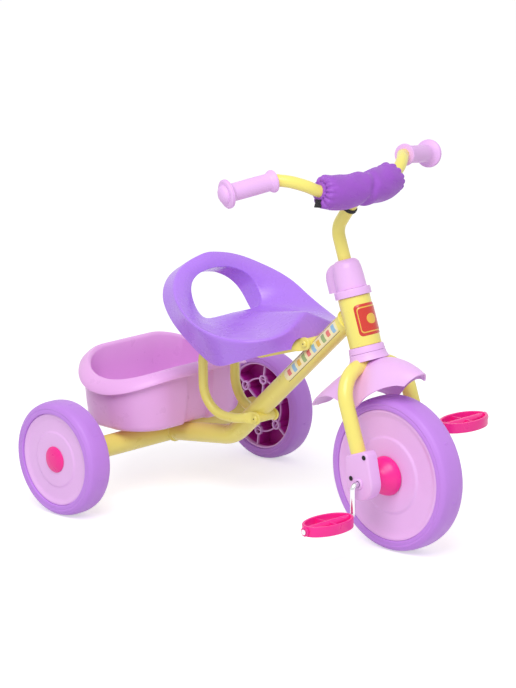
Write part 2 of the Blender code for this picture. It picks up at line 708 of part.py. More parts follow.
pedal_inner = ARM_PLACE + ROD_RADIUS + PEDAL_GAP
pedal_outer = pedal_inner + PEDAL_LENGTH
push_nut_end = pedal_outer + RUNNING + NUT_THICKNESS
spindle_tip = push_nut_end + 0.002
tube("crank", bent([
    (0, spindle_tip, CRANK_THROW), (0, ARM_PLACE, CRANK_THROW), (0, ARM_PLACE, 0),
    (0, -ARM_PLACE, 0), (0, -ARM_PLACE, -CRANK_THROW), (0, -spindle_tip, -CRANK_THROW),
], ROD_BEND, math.radians(30)), ROD_RADIUS, front_axle, "chrome", 3)


def oval(length, depth, height, count=20):
    return [(depth / 2 * math.cos(a), length / 2 * math.sin(a), height)
            for a in (2 * math.pi * i / count for i in range(count))]


def pedal(side, sign, facing):
    """An oval ring with one cross rib, on a tube that turns on the crank's spindle."""
    middle = (pedal_inner + pedal_outer) / 2
    axis = empty("pedal_axis_" + side, (0, sign * middle, sign * CRANK_THROW), front_axle)
    top = PEDAL_HEIGHT / 2
    inner = (PEDAL_LENGTH - 2 * PEDAL_WALL, PEDAL_DEPTH - 2 * PEDAL_WALL)
    made = loft("pedal_" + side, [
        oval(*inner, -top), oval(*inner, top), oval(PEDAL_LENGTH, PEDAL_DEPTH, top),
        oval(PEDAL_LENGTH, PEDAL_DEPTH, -top),
    ], axis, "magenta_plastic", closed=True)
    half = PEDAL_LENGTH / 2
    reach = PEDAL_DEPTH / 2 - PEDAL_WALL / 2
    fuse(made, block("pedal_rib_" + side, (-reach, -PEDAL_RIB / 2, -PEDAL_TUBE * 0.8),
                     (reach, PEDAL_RIB / 2, PEDAL_TUBE * 0.8), axis, None))
    fuse(made, rod("pedal_tube_" + side, PEDAL_TUBE, 0.001 - half, half - 0.001, axis, None, 16,
                   facing="Y"))
    cut(made, rod("pedal_bore_" + side, ROD_RADIUS + RUNNING, -half - 0.01, half + 0.01, axis,
                  None, 16, facing="Y"))
    ring("pedal_push_nut_" + side, 0.0075, ROD_RADIUS + SEAM, pedal_outer + RUNNING,
         push_nut_end, front_axle, "zinc_steel", 12, (0, 0, sign * CRANK_THROW), facing)


pedal("left", 1, "Y")
pedal("right", -1, "-Y")

# Handlebar: post, bar, clamp with its cover, grips and pad

bar_centre = in_fork(BAR_CENTRE)
post_end = Vector((0, 0, POST_CORNER)).lerp(bar_centre, 1 - 0.004 / (
    bar_centre - Vector((0, 0, POST_CORNER))).length)
post_path = bent([(0, 0, POST_FOOT), (0, 0, POST_CORNER), post_end], POST_BEND)
post = tube("handlebar_post", post_path, POST_RADIUS, steering, "yellow_paint", 5)

BAR_HALF = [
    BAR_CENTRE, Vector((-0.0793, 0.050, 0.4495)), Vector((-0.0868, PAD_HALF, 0.4555)),
    Vector((-0.0933, 0.1060, 0.4660)), Vector((-0.1063, 0.1270, 0.4740)),
]
grip_axis = (GRIP_OUTER - GRIP_INNER).normalized()
bar_end = GRIP_OUTER - grip_axis * GRIP_LEAD


def bar_path():
    half = smooth_through(BAR_HALF + [GRIP_INNER - grip_axis * GRIP_LEAD], 2) + [bar_end]
    mirrored = [Vector((p.x, -p.y, p.z)) for p in half[:0:-1]]
    return [in_fork(p) for p in mirrored + half]


bar = tube("handlebar", bar_path(), BAR_RADIUS, steering, "yellow_paint", 4)
cut(post, tube("bar_clearance", bar_path(), BAR_RADIUS + SEAM, steering, None, 4))

clamp = ring("post_clamp", STEERER_RADIUS + 0.004, STEERER_RADIUS + SEAM, clamp_low, clamp_high,
             steering, "zinc_steel", 24)
fuse(clamp, block("clamp_ears", (-0.034, -0.006, clamp_low + 0.001),
                  (-STEERER_RADIUS - 0.002, 0.006, clamp_high - 0.001), steering, None))
cut(clamp, block("clamp_slit", (-0.040, -0.001, clamp_low - 0.01),
                 (-STEERER_RADIUS + 0.002, 0.001, clamp_high + 0.01), steering, None))
bolt_spot = (-0.0265, 0, (clamp_low + clamp_high) / 2)
cut(clamp, rod("clamp_bolt_hole", 0.0025 + SEAM, -0.02, 0.02, steering, None, 12, bolt_spot, "Y"))
turned("post_clamp_bolt", [
    (0, 0.0087), (0.0042, 0.0087), (0.0042, 0.006 + SEAM), (0.0025, 0.006 + SEAM),
    (0.0025, -0.0087), (0, -0.0087),
], steering, "dark_steel", 12, bolt_spot, "Y")

cap_top = cap_foot + STEM_CAP_HEIGHT
stem_cap = turned("stem_cap", [
    (POST_RADIUS + SEAM, cap_top), (0.0135, cap_top), (0.0165, cap_top - 0.003),
    (0.0205, cap_top - 0.014), (0.0232, cap_top - 0.026), (0.0245, cap_foot),
    (POST_RADIUS + SEAM, cap_foot),
], steering, "pink_plastic", 24)
LOBE_HALF = 0.011
LOBE_REACH = 0.048
lobe_arc = [math.radians(90 + 90 * i / 6) for i in range(7)]
lobe_round = 0.026
lobe_outline = [(0, cap_foot - 0.0020), (0, cap_top - 0.006)]
lobe_outline += [(-LOBE_REACH + lobe_round + lobe_round * math.cos(a),
                  cap_top - 0.006 - lobe_round + lobe_round * math.sin(a)) for a in lobe_arc]
lobe_outline += [(-LOBE_REACH, cap_foot - 0.0020)]
fuse(stem_cap, plate("cap_lobe", lobe_outline, 2 * LOBE_HALF, steering, None, (0, 0, 0),
                     (math.pi / 2, 0, 0)))
cut(stem_cap, rod("cap_seat_clear", CUP_RADIUS + SEAM, cap_foot - 0.02, cap_foot, steering,
                  None, 24))
cut(stem_cap, rod("cap_hollow", 0.0195, cap_foot - 0.01, steerer_top + 0.002, steering, None, 24))
cut(stem_cap, block("lobe_hollow", (-0.044, -0.0093, cap_foot - 0.02),
                    (-0.001, 0.0093, clamp_high + 0.002), steering, None))
cut(stem_cap, rod("cap_post_bore", POST_RADIUS + SEAM, cap_foot - 0.02, cap_top + 0.02, steering,
                  None, 16))


def grip(side, sign):
    inner = Vector((GRIP_INNER.x, sign * GRIP_INNER.y, GRIP_INNER.z))
    outer = Vector((GRIP_OUTER.x, sign * GRIP_OUTER.y, GRIP_OUTER.z))
    length = (outer - inner).length
    bore = BAR_RADIUS + SEAM
    made = turned("grip_" + side, [
        (0, length + 0.011), (0.010, length + 0.0098), (0.0155, length + 0.006),
        (0.0165, length + 0.004), (0.0195, length + 0.003), (0.0230, length),
        (0.0230, length - 0.004), (0.0190, length - 0.0065), (GRIP_RADIUS, length - 0.009),
        (GRIP_RADIUS, 0.009), (0.0178, 0.0045), (0.0182, 0), (0.0165, -0.002), (bore, -0.002),
        (bore, length - 0.005), (0, length - 0.005),
    ], steering, "pink_plastic", 16)
    start = in_fork(inner)
    made.location = start
    made.rotation_mode = "QUATERNION"
    made.rotation_quaternion = (in_fork(outer) - start).to_track_quat("Z", "Y")


grip("left", 1)
grip("right", -1)

pad_half = smooth_through(BAR_HALF[:3], 2)
pad_line = [in_fork((p.x, -p.y, p.z)) for p in pad_half[:0:-1]] + [in_fork(p) for p in pad_half]
pad = tube("handlebar_pad", pad_line, PAD_RADIUS, steering, "purple_fabric", 4)
cut(pad, tube("pad_bar_clearance", bar_path(), BAR_RADIUS + SEAM, steering, None, 4))
cut(pad, tube("pad_post_clearance", bent([
    (0, 0, POST_FOOT), (0, 0, POST_CORNER), bar_centre], POST_BEND), POST_RADIUS + SEAM,
    steering, None, 5))

# Seat: a moulded bucket shell with a hoop back; each row runs from the back's top to the nose

SEAT_RIM = [
    (0.103, 0, 0.422), (0.105, 0.040, 0.415), (0.112, 0.073, 0.4045), (0.128, 0.100, 0.390),
    (0.151, 0.121, 0.375), (0.176, 0.133, 0.360), (0.206, 0.1373, 0.3415),
    (0.245, 0.1325, 0.328), (0.285, 0.119, 0.3215), (0.322, 0.092, 0.3225),
    (0.338, 0.060, 0.3293), (0.3385, 0.030, 0.3440), (0.333, 0, 0.3595),
]
SEAT_RIDGE = [
    (0.117, 0, 0.396), (0.119, 0.028, 0.3935), (0.1225, 0.047, 0.3875), (0.130, 0.0615, 0.3795),
    (0.139, 0.0705, 0.368), (0.147, 0.0728, 0.355), (0.154, 0.0715, 0.343),
    (0.158, 0.063, 0.3345), (0.1585, 0.046, 0.333), (0.158, 0.032, 0.333),
    (0.1575, 0.019, 0.333), (0.157, 0.009, 0.333), (0.1565, 0, 0.333),
]
SEAT_HEM = [
    (0.0795, 0, 0.407), (0.0815, 0.038, 0.400), (0.0885, 0.070, 0.389), (0.102, 0.094, 0.3725),
    (0.120, 0.110, 0.352), (0.143, 0.113, 0.323), (0.178, 0.107, 0.290), (0.221, 0.103, 0.2656),
    (0.262, 0.104, 0.2750), (0.298, 0.090, 0.2890), (0.330, 0.045, 0.3110),
    (0.344, 0.020, 0.3090), (0.345, 0, 0.3060),
]
SEAT_BACK = [
    (0.084, 0, 0.383), (0.086, 0.025, 0.3805), (0.0895, 0.042, 0.3745), (0.097, 0.0545, 0.3660),
    (0.106, 0.0635, 0.3540), (0.1155, 0.0680, 0.3400), (0.128, 0.0680, 0.3240),
    (0.145, 0.062, 0.3120), (0.152, 0.046, 0.3080), (0.152, 0.032, 0.3080),
    (0.152, 0.019, 0.3080), (0.152, 0.009, 0.3080), (0.152, 0, 0.3080),
]
SEAT_SHARES = (0.06, 0.34, 0.70, 0.95)
EDGE_ROUND = 0.004


def seat_loop(points):
    half = smooth_through(points, 1)
    return half + [Vector((p.x, -p.y, p.z)) for p in half[-2:0:-1]]


def seat_sheet():
    ridge, rim = seat_loop(SEAT_RIDGE), seat_loop(SEAT_RIM)
    hem, back = seat_loop(SEAT_HEM), seat_loop(SEAT_BACK)
    rows = [back, [b.lerp(r, 0.5) for b, r in zip(back, ridge)]]
    rows.append([r + (b - r).normalized() * EDGE_ROUND for b, r in zip(back, ridge)])
    for share in SEAT_SHARES:
        rows.append([r.lerp(e, share) for r, e in zip(ridge, rim)])
    rows.append([r + (h - r).normalized() * EDGE_ROUND for h, r in zip(hem, rim)])
    rows.append([h.lerp(r, 0.5) for h, r in zip(hem, rim)])
    rows.append(hem)
    mesh = bpy.data.meshes.new("seat")
    work = bmesh.new()
    made = [[work.verts.new(p) for p in row] for row in rows]
    count = len(rows[0])
    for lower, upper in zip(made, made[1:]):
        for i in range(count):
            j = (i + 1) % count
            work.faces.new((lower[i], lower[j], upper[j], upper[i]))
    bmesh.ops.recalc_face_normals(work, faces=work.faces)
    top = max(work.faces, key=lambda face: face.calc_center_median().z)
    if top.normal.z < 0:
        bmesh.ops.reverse_faces(work, faces=work.faces)
    work.to_mesh(mesh)
    work.free()
    mesh.shade_smooth()
    return mesh


seat = place("seat", seat_sheet(), ground, "purple_plastic")
seat_wall = seat.modifiers.new("wall", "SOLIDIFY")
seat_wall.thickness = SEAT_WALL
seat_wall.offset = -1
boss_foot = STRUT_HIGH + STRUT_RADIUS + SEAM
boss_side = STRUT_SPREAD - 0.001
for side, sign in (("left", 1), ("right", -1)):
    for label, along in zip(("rear", "front"), SEAT_BOSS_PLACES):
        spot = (along, sign * boss_side, boss_foot)
        fuse(seat, rod(f"seat_boss_{label}_{side}", SEAT_BOSS_RADIUS, 0,
                       SEAT_BOSS_TOP - boss_foot, ground, None, 8, spot))
        cut(seat, rod(f"seat_boss_hole_{label}_{side}", SCREW_RADIUS + SEAM, -0.01, 0.016,
                      ground, None, 8, spot))
        head = -2 * STRUT_RADIUS - 2 * SEAM
        turned(f"seat_screw_{label}_{side}", [
            (0, head + SEAT_SCREW_LENGTH), (SCREW_RADIUS, head + SEAT_SCREW_LENGTH),
            (SCREW_RADIUS, head), (SCREW_HEAD, head), (SCREW_HEAD * 0.8, head - 0.002),
            (0, head - 0.002),
        ], ground, "dark_steel", 8, spot)
        cut(struts[side], rod(f"strut_hole_{label}_{side}", SCREW_RADIUS + SEAM, -0.03, 0.01,
                              ground, None, 8, spot))
notch_half = lug_inner + 2 * STRUT_RADIUS + NOTCH_ROOM
cut(seat, block("strut_notch", (upper_bolt.x - 0.045, -notch_half, upper_bolt.z - 0.03),
                (upper_bolt.x + 0.030, notch_half, upper_bolt.z + LUG_RADIUS + NOTCH_ROOM),
                ground, None))
cut(seat, tube("seat_tube_clearance", main_path, MAIN_RADIUS + 0.001, ground, None, 5))

# Basket: one moulded tub with a flared, turned-down rim; it stands on the axle beam

body = RIM_FLARE - BODY_INSET
foot = body - BODY_TAPER
front_foot = BASKET_CENTRE + BASKET_HALF_X + foot
floor_height = AXLE_HEIGHT + rise * front_foot + MAIN_RADIUS / math.cos(LOWER_TUBE_ANGLE) + SEAM
beam_top = AXLE_HEIGHT + BEAM_RADIUS + SEAM


def basket_ring(grow_x, grow_y, corner, height, saddle=1.0, recess=True):
    """A rounded rectangle, dented at the front, whose height follows the rim's saddle."""
    half_x, half_y = BASKET_HALF_X + grow_x, BASKET_HALF_Y + grow_y
    corner = min(corner, half_x - 0.001)
    points = []
    straight = half_y - corner
    marks = (-straight, -RECESS_HALF - 0.004, -RECESS_HALF, RECESS_HALF, RECESS_HALF + 0.004)
    for y in marks:
        points.append((half_x, y))
    turn = [math.pi / 2 * i / 5 for i in range(6)]
    for cx, cy, start in ((1, 1, 0), (-1, 1, 1), (-1, -1, 2), (1, -1, 3)):
        for a in turn:
            angle = a + start * math.pi / 2
            points.append((cx * (half_x - corner) + corner * math.cos(angle),
                           cy * straight + corner * math.sin(angle)))
    points.pop()
    ring_points = []
    for x, y in points:
        dent = RECESS_DEPTH if recess and x > 0 and abs(y) <= RECESS_HALF + 1e-6 else 0.0
        lift = saddle * RIM_SADDLE * ((BASKET_CENTRE + x) / 0.1) ** 2
        ring_points.append((BASKET_CENTRE + x - dent, y, height + lift))
    return ring_points


skirt_foot = BASKET_RIM - RIM_SKIRT
under_rim = BASKET_RIM - 0.006
basket = loft("basket", [
    basket_ring(foot - FLOOR_ROUND, foot - FLOOR_ROUND, 0.045, floor_height, 0.0),
    basket_ring(foot - 0.003, foot - 0.003, 0.050, floor_height + 0.003, 0.0),
    basket_ring(foot, foot, 0.052, floor_height + FLOOR_ROUND, 0.0),
    basket_ring(body, body, 0.070, skirt_foot + 0.004, 0.5),
    basket_ring(body, body, 0.070, under_rim, 1.0, False),
    basket_ring(RIM_FLARE - BASKET_WALL, RIM_FLARE - BASKET_WALL, 0.100, skirt_foot + 0.002,
                1.0, False),
    basket_ring(RIM_FLARE - BASKET_WALL, RIM_FLARE - BASKET_WALL, 0.100, skirt_foot, 1.0, False),
    basket_ring(RIM_FLARE, RIM_FLARE, 0.102, skirt_foot, 1.0, False),
    basket_ring(RIM_FLARE * 0.45, RIM_FLARE * 0.45, 0.092, BASKET_RIM - 0.002, 1.0, False),
    basket_ring(0.004, 0.004, BASKET_CORNER, BASKET_RIM, 1.0, False),
    basket_ring(0, 0, BASKET_CORNER, BASKET_RIM - 0.002, 1.0, False),
    basket_ring(body - BASKET_WALL - 0.003, body - BASKET_WALL - 0.003, 0.066,
                skirt_foot - 0.004, 0.5),
    basket_ring(foot - BASKET_WALL, foot - BASKET_WALL, 0.050, floor_height + FLOOR_ROUND, 0.0),
    basket_ring(foot - FLOOR_ROUND, foot - FLOOR_ROUND, 0.045, floor_height + BASKET_WALL, 0.0),
], ground, "basket_plastic")
FOOT_HALF_X = 0.010
FOOT_HALF_Y = 0.055
FOOT_LAP = 0.001
foot_block = block("basket_foot", (-FOOT_HALF_X, -FOOT_HALF_Y, beam_top),
                   (FOOT_HALF_X, FOOT_HALF_Y, floor_height + FOOT_LAP), ground, None)
cut(foot_block, tube("foot_tube_clearance", main_path, MAIN_RADIUS + SEAM, ground, None, 5))
fuse(basket, foot_block)
BASKET_SCREW_PLACE = 0.035
SCREW_SINK = 0.003
for side, sign in (("left", 1), ("right", -1)):
    spot = (0, sign * BASKET_SCREW_PLACE, floor_height + BASKET_WALL + SEAM - SCREW_SINK)
    cut(basket, rod("basket_counterbore_" + side, SCREW_HEAD * 1.2 + SEAM, -SEAM, 0.01, ground,
                    None, 8, spot))
    turned("basket_screw_" + side, [
        (0, 0.0022), (SCREW_HEAD, 0.0018), (SCREW_HEAD * 1.2, 0), (SCREW_RADIUS, 0),
        (SCREW_RADIUS, -0.020), (0, -0.020),
    ], ground, "dark_steel", 8, spot)
    hole = rod("basket_screw_hole_" + side, SCREW_RADIUS + SEAM, -0.0203, 0.01, ground, None, 8,
               spot)
    cut(basket, hole)
    cut(beam, hole)
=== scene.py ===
"""A toddler's tricycle: yellow steel tube, moulded plastic and foam, on a pale studio floor."""

import json
import math

import bmesh
import bpy
from mathutils import Matrix, Vector
from mathutils.bvhtree import BVHTree


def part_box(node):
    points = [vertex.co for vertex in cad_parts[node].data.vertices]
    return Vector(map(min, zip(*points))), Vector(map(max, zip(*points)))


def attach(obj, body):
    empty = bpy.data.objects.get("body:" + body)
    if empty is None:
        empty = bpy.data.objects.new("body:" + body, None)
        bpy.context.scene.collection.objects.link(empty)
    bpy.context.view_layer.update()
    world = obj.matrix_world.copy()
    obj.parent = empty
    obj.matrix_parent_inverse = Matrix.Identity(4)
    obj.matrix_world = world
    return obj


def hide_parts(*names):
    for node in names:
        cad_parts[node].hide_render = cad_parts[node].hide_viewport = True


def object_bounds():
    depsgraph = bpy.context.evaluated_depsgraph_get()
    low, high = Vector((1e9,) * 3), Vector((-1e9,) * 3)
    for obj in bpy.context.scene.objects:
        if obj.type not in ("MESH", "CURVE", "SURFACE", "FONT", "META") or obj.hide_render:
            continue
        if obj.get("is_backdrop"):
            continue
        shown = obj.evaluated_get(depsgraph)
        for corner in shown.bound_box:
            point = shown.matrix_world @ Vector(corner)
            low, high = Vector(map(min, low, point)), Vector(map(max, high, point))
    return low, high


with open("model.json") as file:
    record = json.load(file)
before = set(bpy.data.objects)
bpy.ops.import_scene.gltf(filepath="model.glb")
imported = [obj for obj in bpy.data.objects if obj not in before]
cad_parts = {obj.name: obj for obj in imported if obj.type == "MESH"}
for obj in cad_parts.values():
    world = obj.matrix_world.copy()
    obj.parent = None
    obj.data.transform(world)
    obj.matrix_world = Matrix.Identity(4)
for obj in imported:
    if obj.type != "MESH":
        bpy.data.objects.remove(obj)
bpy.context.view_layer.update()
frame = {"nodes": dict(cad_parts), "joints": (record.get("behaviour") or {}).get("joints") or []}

# Studio: a long-lens camera low on the rider's right, a pale floor that keeps the tricycle's
# shadow, and one broad lamp over a soft surround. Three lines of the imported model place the
# rest: the rear axle, the front axle and the steering axis.
joint_rows = {row["name"]: row for row in frame["joints"]}
rear_axle = Vector(joint_rows["left_rear_wheel_spin"]["pos_m"])
front_axle = Vector(joint_rows["front_wheel_spin"]["pos_m"])
steering_axis = Vector(joint_rows["steering_turn"]["axis"])
rake = math.atan2(-steering_axis.x, steering_axis.z)
BODY = Matrix.Translation((rear_axle.x, 0, 0))
FORK = Matrix.Translation((front_axle.x, 0, front_axle.z)) @ Matrix.Rotation(-rake, 4, "Y")
AXLE = Matrix.Translation((front_axle.x, 0, front_axle.z))


def linear(red, green, blue):
    """A colour on the 0 to 255 scale, as the linear one that shaders take."""
    shares = (red / 255, green / 255, blue / 255)
    curve = [s / 12.92 if s <= 0.04045 else ((s + 0.055) / 1.055) ** 2.4 for s in shares]
    return (*curve, 1.0)


def node(tree, kind, sockets=None, **settings):
    """Add a node, with its settings, and with a value or a link on each named socket."""
    made = tree.nodes.new(kind)
    for key, value in settings.items():
        setattr(made, key, value)
    for key, value in (sockets or {}).items():
        if isinstance(value, bpy.types.NodeSocket):
            tree.links.new(value, made.inputs[key])
        else:
            made.inputs[key].default_value = value
    return made


def shown_by(thing, **values):
    """Link a camera, lamp or mesh into the scene as an object."""
    made = bpy.data.objects.new(thing.name, thing)
    bpy.context.scene.collection.objects.link(made)
    for key, value in values.items():
        setattr(made, key, value)
    return made


CAMERA_AZIMUTH = math.radians(45.61581)
CAMERA_ELEVATION = math.radians(13.88157)
CAMERA_ROLL = math.radians(-0.67565)
CAMERA_DISTANCE = 5.348515
CAMERA_LENS = 170.442
CAMERA_TARGET = Vector((0.220527 + rear_axle.x, 0, 0.282849))
back = Vector((math.cos(CAMERA_ELEVATION) * math.sin(CAMERA_AZIMUTH),
               -math.cos(CAMERA_ELEVATION) * math.cos(CAMERA_AZIMUTH),
               math.sin(CAMERA_ELEVATION)))
level = Vector((math.cos(CAMERA_AZIMUTH), math.sin(CAMERA_AZIMUTH), 0))
across = level * math.cos(CAMERA_ROLL) + back.cross(level) * math.sin(CAMERA_ROLL)
turn = Matrix((across, back.cross(across), back)).transposed().to_4x4()
lens = bpy.data.cameras.new("camera")
lens.lens = CAMERA_LENS
lens.sensor_width = 36
camera = shown_by(lens)
camera.matrix_world = Matrix.Translation(CAMERA_TARGET + back * CAMERA_DISTANCE) @ turn
bpy.context.scene.camera = camera
bpy.context.scene.view_settings.view_transform = "Standard"

SURROUND_STRENGTH = 0.57
FLOOR_LIFT = 0.54
FLOOR_HALF = 30.0


def cleared_tree(owner):
    """The owner's node tree, emptied."""
    owner.use_nodes = True
    owner.node_tree.nodes.clear()
    return owner.node_tree


def end_backdrop(tree, kind, lighting, shown):
    """Show one shader to the camera, metal and glass, and light the object by another."""
    path = node(tree, "ShaderNodeLightPath").outputs
    seen = path["Is Camera Ray"]
    for ray in ("Is Glossy Ray", "Is Transmission Ray"):
        seen = node(tree, "ShaderNodeMath", {0: seen, 1: path[ray]}, operation="MAXIMUM").outputs[0]
    mixed = node(tree, "ShaderNodeMixShader", {0: seen, 1: lighting.outputs[0],
                                               2: shown.outputs[0]})
    node(tree, kind, {"Surface": mixed.outputs[0]})


def mesh_of(name, points, edges=(), faces=()):
    """A mesh of points, with the edges or faces between them."""
    mesh = bpy.data.meshes.new(name)
    mesh.from_pydata([tuple(p) for p in points], edges, faces)
    return mesh


surround = bpy.data.worlds.new("surround")
tree = cleared_tree(surround)
soft = node(tree, "ShaderNodeBackground", {"Color": (1, 1, 1, 1), "Strength": SURROUND_STRENGTH})
white = node(tree, "ShaderNodeBackground", {"Color": (1, 1, 1, 1), "Strength": 1.0})
end_backdrop(tree, "ShaderNodeOutputWorld", soft, white)
bpy.context.scene.world = surround

lamp = bpy.data.lights.new("key_lamp", "AREA")
lamp.shape = "DISK"
lamp.size = 2.2
lamp.energy = 54
key_lamp = shown_by(lamp, location=(1.2, -1.6, 2.6))
lamp_way = Vector((0, 0, 0.3)) - key_lamp.location
key_lamp.rotation_euler = lamp_way.to_track_quat("-Z", "Y").to_euler()

floor_paint = bpy.data.materials.new("studio_floor")
tree = cleared_tree(floor_paint)
paint = node(tree, "ShaderNodeBsdfDiffuse", {"Color": (0.8, 0.8, 0.8, 1)})
lift = node(tree, "ShaderNodeEmission", {"Color": (1, 1, 1, 1), "Strength": FLOOR_LIFT})
bright = node(tree, "ShaderNodeAddShader", {0: paint.outputs[0], 1: lift.outputs[0]})
end_backdrop(tree, "ShaderNodeOutputMaterial", paint, bright)
CORNERS = ((1, 1), (-1, 1), (-1, -1), (1, -1))
floor_mesh = mesh_of("floor", [(x * FLOOR_HALF, y * FLOOR_HALF, 0) for x, y in CORNERS],
                     faces=[(0, 1, 2, 3)])
floor_mesh.materials.append(floor_paint)
shown_by(floor_mesh)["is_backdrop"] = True

# Cross beam: a 37 mm steel tube over the rear axle, cut square and powder-coated pale yellow
# with the rest of the frame. The axle runs through it and the basket is screwed to its top.
BEAM_RADIUS = 0.0185
BEAM_WALL = 0.002
BEAM_HALF = 0.205
MERGE_GAP = 0.000005
POWDER_YELLOW = linear(247, 233, 118)


def noise(tree, place, scale, detail, **sockets):
    """A noise pattern's strength at each point of the object."""
    return node(tree, "ShaderNodeTexNoise", {"Vector": place, "Scale": scale, "Detail": detail,
                                             **sockets}).outputs["Fac"]


def ranged(tree, value, low, high, to_low, to_high):
    """A value run from one range into another, and held at its ends."""
    return node(tree, "ShaderNodeMapRange", {"Value": value, "From Min": low, "From Max": high,
                                             "To Min": to_low, "To Max": to_high}).outputs[0]


def blend_of(tree, share, first, second):
    """One colour mixed into another by a share."""
    return node(tree, "ShaderNodeMix", {0: share, 6: first, 7: second},
                data_type="RGBA").outputs[2]


def relief(tree, height, strength, distance, under=None):
    """A bump from a height, over another bump where one is given."""
    sockets = {"Height": height, "Strength": strength, "Distance": distance}
    if under:
        sockets["Normal"] = under
    return node(tree, "ShaderNodeBump", sockets).outputs[0]


def new_finish(name):
    """A material with its tree, its shader and the object's coordinates."""
    made = bpy.data.materials.new(name)
    made.use_nodes = True
    tree = made.node_tree
    return made, tree, tree.nodes["Principled BSDF"], node(tree, "ShaderNodeTexCoord").outputs["Object"]


def set_shader(tree, shader, colour, rough, normal, **values):
    """Link a shader's patterns, and set its own sockets."""
    for socket, pattern in (("Base Color", colour), ("Roughness", rough), ("Normal", normal)):
        tree.links.new(pattern, shader.inputs[socket])
    for key, value in values.items():
        shader.inputs[key.replace("_", " ").title()].default_value = value


def finish(name, colour, rough, clouds=0.04, cloud_size=16.0, grain=700.0, depth=0.00006,
           scuffs=0.0, **shader_values):
    """A moulded or coated surface: faint clouds in its colour, fine grain and light scuffs."""
    made, tree, shader, place = new_finish(name)
    deep = tuple(c * (1 - clouds * 1.6) for c in colour[:3]) + (1.0,)
    pale = tuple(min(1.0, c * (1 + clouds) + clouds * 0.1) for c in colour[:3]) + (1.0,)
    tint = blend_of(tree, noise(tree, place, cloud_size, 4.0), deep, pale)
    stretched = node(tree, "ShaderNodeMapping", {"Vector": place, "Scale": (1.0, 5.0, 1.6),
                                                 "Rotation": (0.4, 0.7, 0.2)}).outputs[0]
    worn = ranged(tree, noise(tree, stretched, 120.0, 5.0, Roughness=0.7), 0.62, 0.74, 0.0, scuffs)
    sheen = ranged(tree, noise(tree, place, 42.0, 3.0), 0.3, 0.7, *rough)
    dull = node(tree, "ShaderNodeMath", {0: worn, 1: 0.35, 2: sheen}, operation="MULTIPLY_ADD")
    set_shader(tree, shader, blend_of(tree, worn, tint, pale), dull.outputs[0],
               relief(tree, noise(tree, place, grain, 2.0), 0.6, depth), **shader_values)
    return made


def reworked(mesh, change):
    """Change a mesh in place with bmesh."""
    work = bmesh.new()
    work.from_mesh(mesh)
    change(work)
    work.to_mesh(mesh)
    work.free()
    return mesh


def smoothed(mesh, sharp=38):
    """Shade a mesh smooth, but for edges that turn more than an angle in degrees."""
    mesh.shade_smooth()
    mesh.set_sharp_from_angle(angle=math.radians(sharp))
    return mesh


def tidied(mesh, matrix=None, sharp=38):
    """Merge doubles, turn the faces outwards, smooth them and move the mesh to its place."""
    def merge(work):
        bmesh.ops.remove_doubles(work, verts=work.verts, dist=MERGE_GAP)
        bmesh.ops.recalc_face_normals(work, faces=work.faces)

    reworked(mesh, merge)
    if matrix:
        mesh.transform(matrix)
    return smoothed(mesh, sharp)


def piece(name, mesh, material, body, slot, *stands_for):
    """Show a finished mesh as a piece of one body, in place of the CAD nodes named."""
    mesh.materials.clear()
    mesh.materials.append(material)
    mesh.polygons.foreach_set("material_index", [0] * len(mesh.polygons))
    mesh.name = name
    made = shown_by(mesh)
    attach(made, body)
    if stands_for:
        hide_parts(*stands_for)
    return made


def new_tree(name, *sockets):
    """An empty Geometry Nodes tree with a geometry in and out, and the inputs named."""
    tree = bpy.data.node_groups.new(name, "GeometryNodeTree")
    face = tree.interface
    face.new_socket("Geometry", in_out="INPUT", socket_type="NodeSocketGeometry")
    for label, kind in sockets:
        face.new_socket(label, in_out="INPUT", socket_type=kind)
    face.new_socket("Finish", in_out="INPUT", socket_type="NodeSocketMaterial")
    face.new_socket("Geometry", in_out="OUTPUT", socket_type="NodeSocketGeometry")
    return tree, tree.nodes.new("NodeGroupInput").outputs


def end_tree(tree, geometry, inputs):
    """Make a tree's copies real, give them their finish and lead them out."""
    real = node(tree, "GeometryNodeRealizeInstances", {"Geometry": geometry})
    coated = node(tree, "GeometryNodeSetMaterial", {"Geometry": real.outputs[0],
                                                    "Material": inputs["Finish"]})
    node(tree, "NodeGroupOutput", {"Geometry": coated.outputs[0]})


def applied(holder):
    """A plain mesh of an object as its modifiers leave it; the object goes."""
    view = bpy.context.evaluated_depsgraph_get()
    mesh = bpy.data.meshes.new_from_object(holder.evaluated_get(view))
    bpy.data.objects.remove(holder, do_unlink=True)
    return mesh


def grown(tree, source, values):
    """The plain mesh that a tree makes from a source mesh, with its inputs set by name."""
    holder = shown_by(source)
    step = holder.modifiers.new(tree.name, "NODES")
    step.node_group = tree
    for item in tree.interface.items_tree:
        if item.in_out == "INPUT" and item.name in values:
            step[item.identifier] = values[item.name]
    return applied(holder)


bent_tube, given = new_tree("bent_tube", ("Radius", "NodeSocketFloat"), ("Sides", "NodeSocketInt"))
route = node(bent_tube, "GeometryNodeMeshToCurve", {"Mesh": given["Geometry"]})
section = node(bent_tube, "GeometryNodeCurvePrimitiveCircle",
               {"Resolution": given["Sides"], "Radius": given["Radius"]})
walls = node(bent_tube, "GeometryNodeCurveToMesh",
             {"Curve": route.outputs[0], "Profile Curve": section.outputs[0], "Fill Caps": True})
end_tree(bent_tube, walls.outputs[0], given)


def line_of(points):
    """A mesh of one line through points."""
    return mesh_of("line", points, [(i, i + 1) for i in range(len(points) - 1)])


def tubing(points, radius, material, matrix=None, sides=40):
    """A round tube along a list of points."""
    values = {"Radius": radius, "Sides": sides, "Finish": material}
    return tidied(grown(bent_tube, line_of(points), values), matrix)


def joined(*meshes):
    """One mesh out of several."""
    work = bmesh.new()
    for mesh in meshes:
        work.from_mesh(mesh)
    made = bpy.data.meshes.new("joined")
    work.to_mesh(made)
    work.free()
    return smoothed(made)


